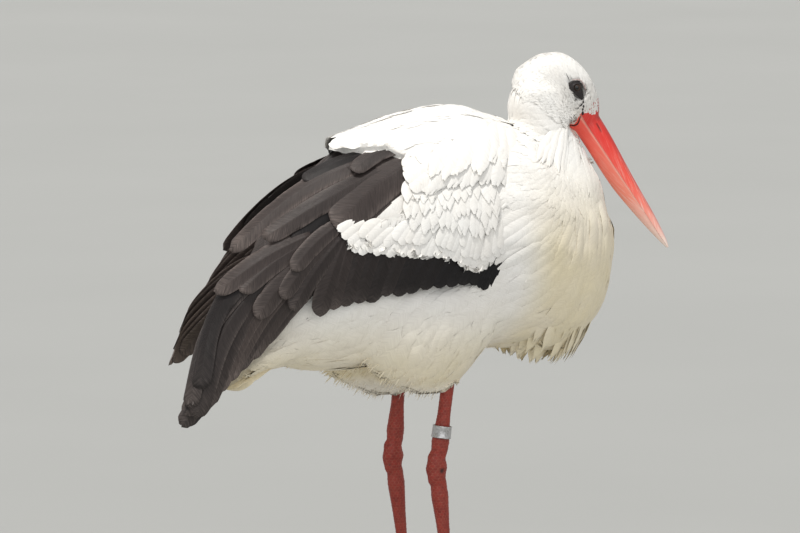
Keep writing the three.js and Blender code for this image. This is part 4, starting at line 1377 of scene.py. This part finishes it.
def make_tail(material):
    """The tail's long feathers, folded under the wings."""
    q = np.linspace(-1, 1, TAIL["count"])
    pile, one = np.abs(q), np.ones(TAIL["count"])
    t = np.linspace(0, 1, LONG_STEPS)[None, :, None]
    root_x, tip_x = TAIL["start"] * one, TAIL["end"] + 18 * pile**2
    start = np.stack([root_x + CENTRE_X, q * 26, TAIL["root_z"] - 4 * pile], -1)[:, None]
    end = np.stack([tip_x + CENTRE_X, q * 24, TAIL["tip_z"] - 3.5 * pile], -1)[:, None]
    lines = mix(start, end, t) + np.array([0, 0, TAIL["arch"]]) * np.sin(np.pi * t)
    normals = flat_normals(lines, np.stack([0 * q, one, -0.5 * q], -1)[:, None])
    tone = rng.random(TAIL["count"])
    big_feathers("tail_feathers", lines, normals, TAIL["half"] * one, material, "plumage", tone)


# ---- head: eyes, lids and the dark marks, given as (x, z) in the head's own frame ----

EYE = np.array([-43.2, 17.6, 13.9])
EYE_RADIUS, IRIS_RADIUS, LID_RADIUS = 8.2, 5.6, 4.3
PATCH_EDGE = np.array([
    [-52.5, 9.5], [-52.6, 13.5], [-50, 17.5], [-46.9, 21.3], [-43, 20.6], [-38, 18.9], [-32, 16.4],
    [-25.9, 12.8], [-29.8, 10.4], [-35, 9.1], [-40, 8.1], [-46.5, 6.4],
])
BILL_EDGE = np.array([
    [-16, -24], [-12, -18], [-9.4, -15.6], [-6.8, -12], [-6.6, -8], [-9, -4], [-11.4, -1.7],
    [-12.4, 3.3], [-9.0, 6.9], [-3.4, 11.2], [0.5, 15], [2.5, 18.5], [6.0, 26],
])
MARKS = [  # width, lift, then the points of a dark streak
    (1.5, 0.7, [[-12.4, 0.4], [-10.4, -2.6], [-7.8, -5.0], [-6.0, -8.4], [-6.6, -12],
                [-9.6, -15.4]]),
    (1.8, 0.5, [[-18, -20.6], [-14.5, -18.8], [-11.0, -16.9], [-8.6, -15.6]]),
    (2.0, 0.2, [[-25.8, 12.2], [-23.4, 10.4]]),
    (1.6, 0.2, [[-23.8, 9.6], [-22.9, 7.0], [-22.8, 4.8]]),
    (1.2, 0.2, [[-22.6, 3.6], [-21.4, 1.2]]),
    (1.7, 0.2, [[-21.4, 9.6], [-18.8, 8.0]]),
    (1.8, 0.2, [[-18.6, 7.2], [-16.4, 5.4]]),
    (2.8, 0.4, [[-15.6, 5.0], [-12.0, 2.6]]),
    (0.6, 0.1, [[-64, 12.9], [-60, 12.3], [-54, 11.4]]),
    (0.8, 0.1, [[-33.6, -3.2], [-27.2, -2.7], [-21.8, 0.9]]),
]
BROW = (1.5, [[-53.6, 14.5], [-50.6, 19.6], [-46.2, 23.0], [-39.5, 22.8], [-34, 20.8]])


def on_head(x, z, side):
    """The head's surface at (x, z), on one side, and its normal there, in the bird's frame."""
    def surface(x, z):
        return np.stack([x, side * head_half(x, z), z], -1)

    ahead = surface(x + 1, z) - surface(x - 1, z)
    above = surface(x, z + 1) - surface(x, z - 1)
    normals = unit(np.cross(above, ahead)) * side
    return from_head(surface(x, z)), normals @ HEAD_TURN.T


def inside(polygon, points):
    """True where points lie inside a polygon."""
    a, b = polygon, np.roll(polygon, -1, axis=0)
    x, z = points[:, 0:1], points[:, 1:2]
    cuts = (a[:, 1] > z) != (b[:, 1] > z)
    at = a[:, 0] + (z - a[:, 1]) * (b[:, 0] - a[:, 0]) / (b[:, 1] - a[:, 1] + 1e-9)
    return ((cuts & (x < at)).sum(1) % 2) == 1


def bare(points):
    """True where the head has no feathers: round the eyes and over the root of the bill."""
    own = in_head(points)
    flat = own[:, [0, 2]]
    eye = inside(PATCH_EDGE, flat) & (np.abs(own[:, 1]) > 8)
    bill = flat[:, 0] > np.interp(flat[:, 1], BILL_EDGE[:, 1], BILL_EDGE[:, 0])
    return eye | bill & (flat[:, 1] > -21)


def patch_radius(turns):
    """How far the bare patch reaches from the eye, for each turn round it."""
    centre = EYE[[0, 2]]
    way = np.stack([np.cos(turns), np.sin(turns)], -1)
    a, b = PATCH_EDGE - centre, np.roll(PATCH_EDGE, -1, axis=0) - centre
    edge = b - a
    cross = way[:, None, 0] * edge[None, :, 1] - way[:, None, 1] * edge[None, :, 0]
    cross = np.where(np.abs(cross) < 1e-6, 1e-6, cross)
    far = (a[None, :, 0] * edge[None, :, 1] - a[None, :, 1] * edge[None, :, 0]) / cross
    along = (a[None, :, 0] * way[:, None, 1] - a[None, :, 1] * way[:, None, 0]) / cross
    hit = (far > 0) & (along >= 0) & (along <= 1)
    return np.where(hit, far, 0).max(1)


EYE_AROUND, EYE_DOWN = 40, 26
# The bare skin from the eye out to the feathers: share of the way, lift over the head.
LID_RINGS = np.array([
    [-0.06, 0.2], [0, 1.35], [0.05, 1.85], [0.12, 1.75], [0.22, 1.15], [0.36, 0.75], [0.52, 0.62],
    [0.70, 0.55], [0.86, 0.42], [1.0, 0.1], [1.10, -1.4],
])


def make_eye(name, side, wet):
    turns = np.linspace(0, 2 * np.pi, EYE_AROUND, endpoint=False)
    tilt = np.linspace(0.001, np.pi * 0.62, EYE_DOWN)
    ball = np.stack([
        np.sin(tilt)[:, None] * np.cos(turns),
        np.cos(tilt)[:, None] * np.ones(EYE_AROUND),
        np.sin(tilt)[:, None] * np.sin(turns),
    ], -1)
    bulge = 1 + 0.05 * np.exp(-(tilt / 0.45) ** 2)
    ball = ball * (EYE_RADIUS * bulge)[:, None, None] * [1, side, 1]
    points = from_head(ball.reshape(-1, 3) + EYE * [1, side, 1])
    out = np.repeat(np.sin(tilt) * EYE_RADIUS / IRIS_RADIUS, EYE_AROUND)
    iris = np.stack([out, np.tile(np.cos(turns * 5), EYE_DOWN), 0 * out], -1)
    faces = grid_faces(EYE_DOWN, EYE_AROUND, closed=True)
    faces = faces if side > 0 else faces[:, ::-1]
    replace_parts(add_mesh(f"eye_{name}", points, faces, wet, "eye", iris=iris), f"eye_{name}")


def make_lids(name, side, material):
    """The bare skin round the eye: a lid that hugs the ball, then a fold out to the feathers."""
    turns = np.linspace(0, 2 * np.pi, EYE_AROUND, endpoint=False)
    reach = np.maximum(patch_radius(turns), LID_RADIUS + 0.9)
    shares, lift = LID_RINGS.T[..., None]
    squint = LID_RADIUS * (1 - 0.16 * np.abs(np.sin(turns)) ** 3)
    radius = squint + shares * (reach - squint)
    folds = 0.22 * np.sin(radius * 3.1 + 2 * np.sin(turns * 3)) * (shares > 0.1) * (shares < 0.95)
    x, z = EYE[0] + radius * np.cos(turns), EYE[2] + radius * np.sin(turns)
    place, normal = on_head(x, z, side)
    points = place + normal * (lift + folds)[..., None]
    faces = grid_faces(len(shares), EYE_AROUND, closed=True)
    faces = faces if side < 0 else faces[:, ::-1]
    add_mesh(f"lids_{name}", points.reshape(-1, 3), faces, material, "eye")


STREAK_ROWS, STREAK_SIDES = 12, 8


def streak(width, line, side, lift, thick=0.55):
    """A tapered ridge along a line on the head."""
    line = spread(line, STREAK_ROWS)
    line = np.vstack([line[:1], line, line[-1:]])
    place, normal = on_head(line[:, 0], line[:, 1], side)
    across = unit(np.cross(unit(np.gradient(place, axis=0)), normal))
    rows = len(line)
    swell = np.sqrt(np.clip(np.sin(np.pi * np.linspace(0, 1, rows)), 0.0, 1))
    swell = (swell * (0.85 + 0.3 * rng.random(rows)))[:, None]
    turns = np.linspace(0, 2 * np.pi, STREAK_SIDES, endpoint=False)
    ring = (
        across[:, None] * (np.cos(turns) * width / 2 * swell)[..., None]
        + normal[:, None] * (np.sin(turns) * thick * swell + lift)[..., None]
    )
    return (place[:, None] + ring).reshape(-1, 3), grid_faces(rows, STREAK_SIDES, closed=True)


def make_marks(name, side, black, pink):
    points, faces = zip(*(streak(width, line, side, lift) for width, lift, line in MARKS))
    starts = np.cumsum([0] + [len(p) for p in points[:-1]])
    faces = [own + start for own, start in zip(faces, starts)]
    add_mesh(f"marks_{name}", np.vstack(points), np.vstack(faces), black, "eye")
    points, faces = streak(*BROW, side, lift=0.2, thick=0.9)
    add_mesh(f"brow_{name}", points, faces, pink, "plumage")


# ---- bill ----

# x: height over the mouth line, depth under it, half-width
BILL = stations([
    [-6, 19, 13.5, 12.5], [0, 19, 13.5, 12.3], [30, 17.6, 13.8, 11], [60, 14.6, 14.6, 9.6],
    [84, 12.2, 14.2, 8.4], [105, 10.6, 12.2, 7.2], [138, 8, 8, 5.2], [165, 4.4, 3.4, 2.8],
    [175, 1.6, 1.1, 1.2],
])
BILL_FROM, BILL_TO = -16.0, 175.0
BILL_ROWS, BILL_COLUMNS = 190, 37
MOUTH = 0.06  # half of the gap between the mandibles
NOSTRIL = dict(start=6.0, end=19.0, z=11.0, deep=1.3, tall=0.9, groove=0.35)


def nostril(x, z):
    """The slit in the upper mandible, and how deep it and the groove ahead of it go."""
    middle = NOSTRIL["z"] - 0.10 * (x - 8)
    share = np.clip((x - NOSTRIL["start"]) / (NOSTRIL["end"] - NOSTRIL["start"]), 0, 1)
    slit = np.sqrt(np.clip(4 * share * (1 - share), 0, 1))
    pit = slit * np.exp(-(((z - middle) / NOSTRIL["tall"]) ** 2))
    groove = ramp(16, 24, x) * ramp(70, 40, x)
    ahead = groove * NOSTRIL["groove"] * np.exp(-(((z - middle) / 1.3) ** 2))
    return pit, pit * NOSTRIL["deep"] + ahead


def make_bill(upper, material):
    x = BILL_FROM + (BILL_TO - BILL_FROM) * np.linspace(0, 1, BILL_ROWS) ** 0.95
    x = x[:, None]
    over, under, half = BILL(x[:, 0]).T[..., None]
    crown, throat, wide = HEAD(np.minimum(x[:, 0], 2)).T[..., None]
    root = 1 - ramp(-3, 7, x)
    way = 1 if upper else -1
    tall = mix(over, crown - 0.9, root) if upper else mix(under, -throat - 0.7, root)
    half = mix(half, wide - 0.7, root)
    turns = np.linspace(0, np.pi, BILL_COLUMNS)
    cosine, sine = np.cos(turns), np.sin(turns)
    peak = mix(0.95, 1.10, ramp(0, 40, x))
    lip = np.exp(-((sine / 0.10) ** 2)) * 0.35 * ramp(4, 20, x) * ramp(172, 160, x)
    y = half * np.sign(cosine) * np.abs(cosine) ** 0.9 + np.sign(cosine) * lip
    z = way * (MOUTH + (tall - MOUTH) * sine**peak)
    striae = 0.10 * np.sin(turns * 46 + 0.02 * x) * ramp(60, 130, x)
    y, z = y * (1 + 0.012 * striae), z * (1 + 0.02 * striae)
    pit = np.zeros_like(z)
    if upper:
        pit, dent = nostril(x, z)
        y = y - np.sign(cosine) * dent
    points = np.stack([np.repeat(x, BILL_COLUMNS, 1), y, z], -1)
    plate = points.copy()  # the flat side towards the other mandible
    plate[..., 2] = way * MOUTH
    plate[..., 1] = y[:, :1] * np.linspace(1, -1, BILL_COLUMNS)
    loop = np.concatenate([points, plate[:, -2:0:-3]], 1)
    around = loop.shape[1]
    extra = around - BILL_COLUMNS
    # the flat faces between the mandibles take the painted shade in full
    pit = np.concatenate([pit, np.ones((BILL_ROWS, extra))], 1)
    faces = grid_faces(BILL_ROWS, around, closed=True)
    along = (loop[..., 0] - BILL_FROM) / (BILL_TO - BILL_FROM)
    height = np.abs(loop[..., 2]) / np.maximum(tall, 1) * (1 if upper else 0.4)
    spin = np.concatenate([turns, np.zeros(extra)]) * half
    shape = np.stack([along, height, np.clip(pit, 0, 1)], -1)
    grain = np.stack([loop[..., 0], spin, np.full_like(spin, 7.0 * way)], -1)
    name = "bill_upper" if upper else "bill_lower"
    piece = add_mesh(
        name, from_head(loop.reshape(-1, 3)), faces[:, ::-1] if upper else faces, material, "bill",
        shape=shape.reshape(-1, 3), grain=grain.reshape(-1, 3),
        lower=np.full(BILL_ROWS * around, 0.0 if upper else 1.0),
    )
    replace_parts(piece, name)


# ---- legs, claws and ring ----

LEG_LINES = {  # knee, ankle and foot
    "right": np.array([[22, -46, 352], [5, -45, 230], [29, -47, 14]]) + [CENTRE_X, 0, 0],
    "left": np.array([[6, 46, 352], [-5, 45, 233], [21, 47, 14]]) + [CENTRE_X, 0, 0],
}
LEG_VOXEL, CLAW_VOXEL = 0.85, 0.4
SCALES_ROUND, SCALE_TALL, TOE_BAND = 11, 3.6, 3.9
TOES = ("middle", "inner", "outer", "hind")
# place, radius, depth
ANKLE_PIT = {"right": ((11.5, -53.5, 228.0), 2.9, 1.4), "left": ((-8.0, 40.0, 224.0), 1.8, 0.8)}


def hexagons(a, b):
    """Distance from the edge of hexagonal cells, and a number of its own for each cell."""
    pitch = np.array([1.0, math.sqrt(3)])
    q = np.stack([a, b], -1)
    first = np.mod(q, pitch) - pitch / 2
    second = np.mod(q - pitch / 2, pitch) - pitch / 2
    use = (first**2).sum(-1, keepdims=True) < (second**2).sum(-1, keepdims=True)
    own = np.where(use, first, second)
    centre = np.round((q - own) * 2)
    number = np.modf(np.abs(np.sin(centre @ [12.9898, 78.233]) * 43758.5))[0]
    across = np.maximum(np.abs(own) @ np.array([0.5, math.sqrt(3) / 2]), np.abs(own[..., 0]))
    return 0.5 - across, number


def toe_bands(away):
    """The same for the bands across the toes, at a distance from the foot's middle."""
    band = away / TOE_BAND
    number = np.modf(np.abs(np.sin(np.floor(band) * 12.9)) * 43758.5)[0]
    return 0.5 - np.abs(np.mod(band, 1) - 0.5), number


def make_leg(name, material):
    nodes = [f"shin_{name}", f"tarsus_{name}", f"foot_{name}"]
    points, faces = remeshed(nodes, LEG_VOXEL, 5)
    normals = point_normals(points, faces)
    knee, ankle, foot = LEG_LINES[name]
    x, y, z = points.T
    low = points[:, 2:3] < ankle[2]
    a, b = np.where(low, foot, ankle), np.where(low, ankle, knee)
    spoke = points - mix(a, b, (points[:, 2:3] - a[:, 2:3]) / (b[:, 2:3] - a[:, 2:3]))
    turn = np.arctan2(spoke[:, 1], spoke[:, 0]) / (2 * np.pi)
    wander = 0.10 * np.sin(z * 0.21) + 0.06 * np.sin(z * 0.57)
    edge, number = hexagons((turn + wander * 0.1) * SCALES_ROUND, z / SCALE_TALL)
    away = np.hypot(x - foot[0], y - foot[1])
    toe_edge, toe_number = toe_bands(away)
    on_toe = ramp(24, 17, z) * ramp(9, 14, away)
    edge, number = mix(edge, toe_edge, on_toe), mix(number, toe_number, on_toe)
    swell = ramp(0.0, 0.20, edge) * mix(1, ramp(-0.1, 0.35, normals[:, 2]), on_toe)
    crease = 1 - ramp(0.03, 0.15, edge)
    centre, wide, deep = ANKLE_PIT[name]
    pit = np.exp(-((np.linalg.norm(points - centre, axis=1) / wide) ** 2))
    knobs = 0.35 * np.sin(z * 0.33 + 3 * turn) * ramp(34, 14, np.abs(z - ankle[2]))
    height = 0.34 * swell - 0.1 + 0.10 * number + knobs - deep * pit
    points = points + normals * height[:, None]
    points[:, 2] = np.maximum(points[:, 2], 0)
    scale = np.stack([crease, number, np.clip(pit * 1.3, 0, 1)], -1)
    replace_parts(add_mesh(f"leg_{name}", points, faces, material, "leg", scale=scale), *nodes)


def make_claws(name, material):
    nodes = [f"claw_{name}_{toe}" for toe in TOES]
    points, faces = remeshed(nodes, CLAW_VOXEL, 4)
    points[:, 2] = np.maximum(points[:, 2], 0)
    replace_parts(add_mesh(f"claws_{name}", points, faces, material, "claw"), *nodes)


RING_SIDES, RING_TALL, RING_TAPER = 96, 14.0, 0.03
# The band's section from its inner face round its rolled edges: radius, share of the height.
RING_SECTION = np.array([
    [10.2, -0.46], [10.2, 0.46], [10.4, 0.5], [10.95, 0.5], [11.2, 0.47], [11.2, 0.40],
    [10.98, 0.36], [10.98, -0.36], [11.2, -0.40], [11.2, -0.47], [10.95, -0.5], [10.4, -0.5],
])


def make_ring(material):
    """A closed metal band with rolled edges, round the right leg."""
    centre = corners_of(NODES["leg_ring"].data).mean(0)
    knee, ankle, _ = LEG_LINES["right"]
    axis = unit(knee - ankle)
    first = unit(np.cross(axis, [0, 1.0, 0]))
    second = np.cross(axis, first)
    radius, share = RING_SECTION.T
    turns = np.linspace(0, 2 * np.pi, RING_SIDES + 1)[:-1]
    round_way = np.cos(turns)[:, None] * first + np.sin(turns)[:, None] * second
    points = (
        centre + round_way[:, None] * (radius * (1 - RING_TAPER * share))[None, :, None]
        + axis * (share * RING_TALL)[None, :, None]
    )
    size = len(radius)
    row, last = np.arange(size), (RING_SIDES - 1) * size
    ahead = np.roll(row, -1)
    seam = np.stack([last + row, last + ahead, ahead, row], -1)
    faces = np.vstack([grid_faces(RING_SIDES, size, closed=True), seam])
    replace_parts(add_mesh("leg_ring", points.reshape(-1, 3), faces, material, "ring"), "leg_ring")


# ---- the whole bird ----


def make_bird():
    skin = Skin()
    make_skin(skin)
    make_coat(skin)
    broad = white_plumage("white_broad", 0.55)
    dark = dark_plumage("dark_plumage")
    make_white_rows(skin, broad)
    make_fringe(skin, broad)
    make_tail(broad)
    wet, black, pink = eye_paint(), bare_skin_paint(), lid_paint()
    for name, side in SIDES.items():
        make_wing(name, side, dark)
        make_eye(name, side, wet)
        make_lids(name, side, black)
        make_marks(name, side, black, pink)
    horn = bill_paint()
    make_bill(True, horn)
    make_bill(False, horn)
    scaly, claw = leg_paint(), claw_paint()
    for name in SIDES:
        make_leg(name, scaly)
        make_claws(name, claw)
    make_ring(ring_paint())


make_camera()
make_lights()
make_floor()
make_bird()
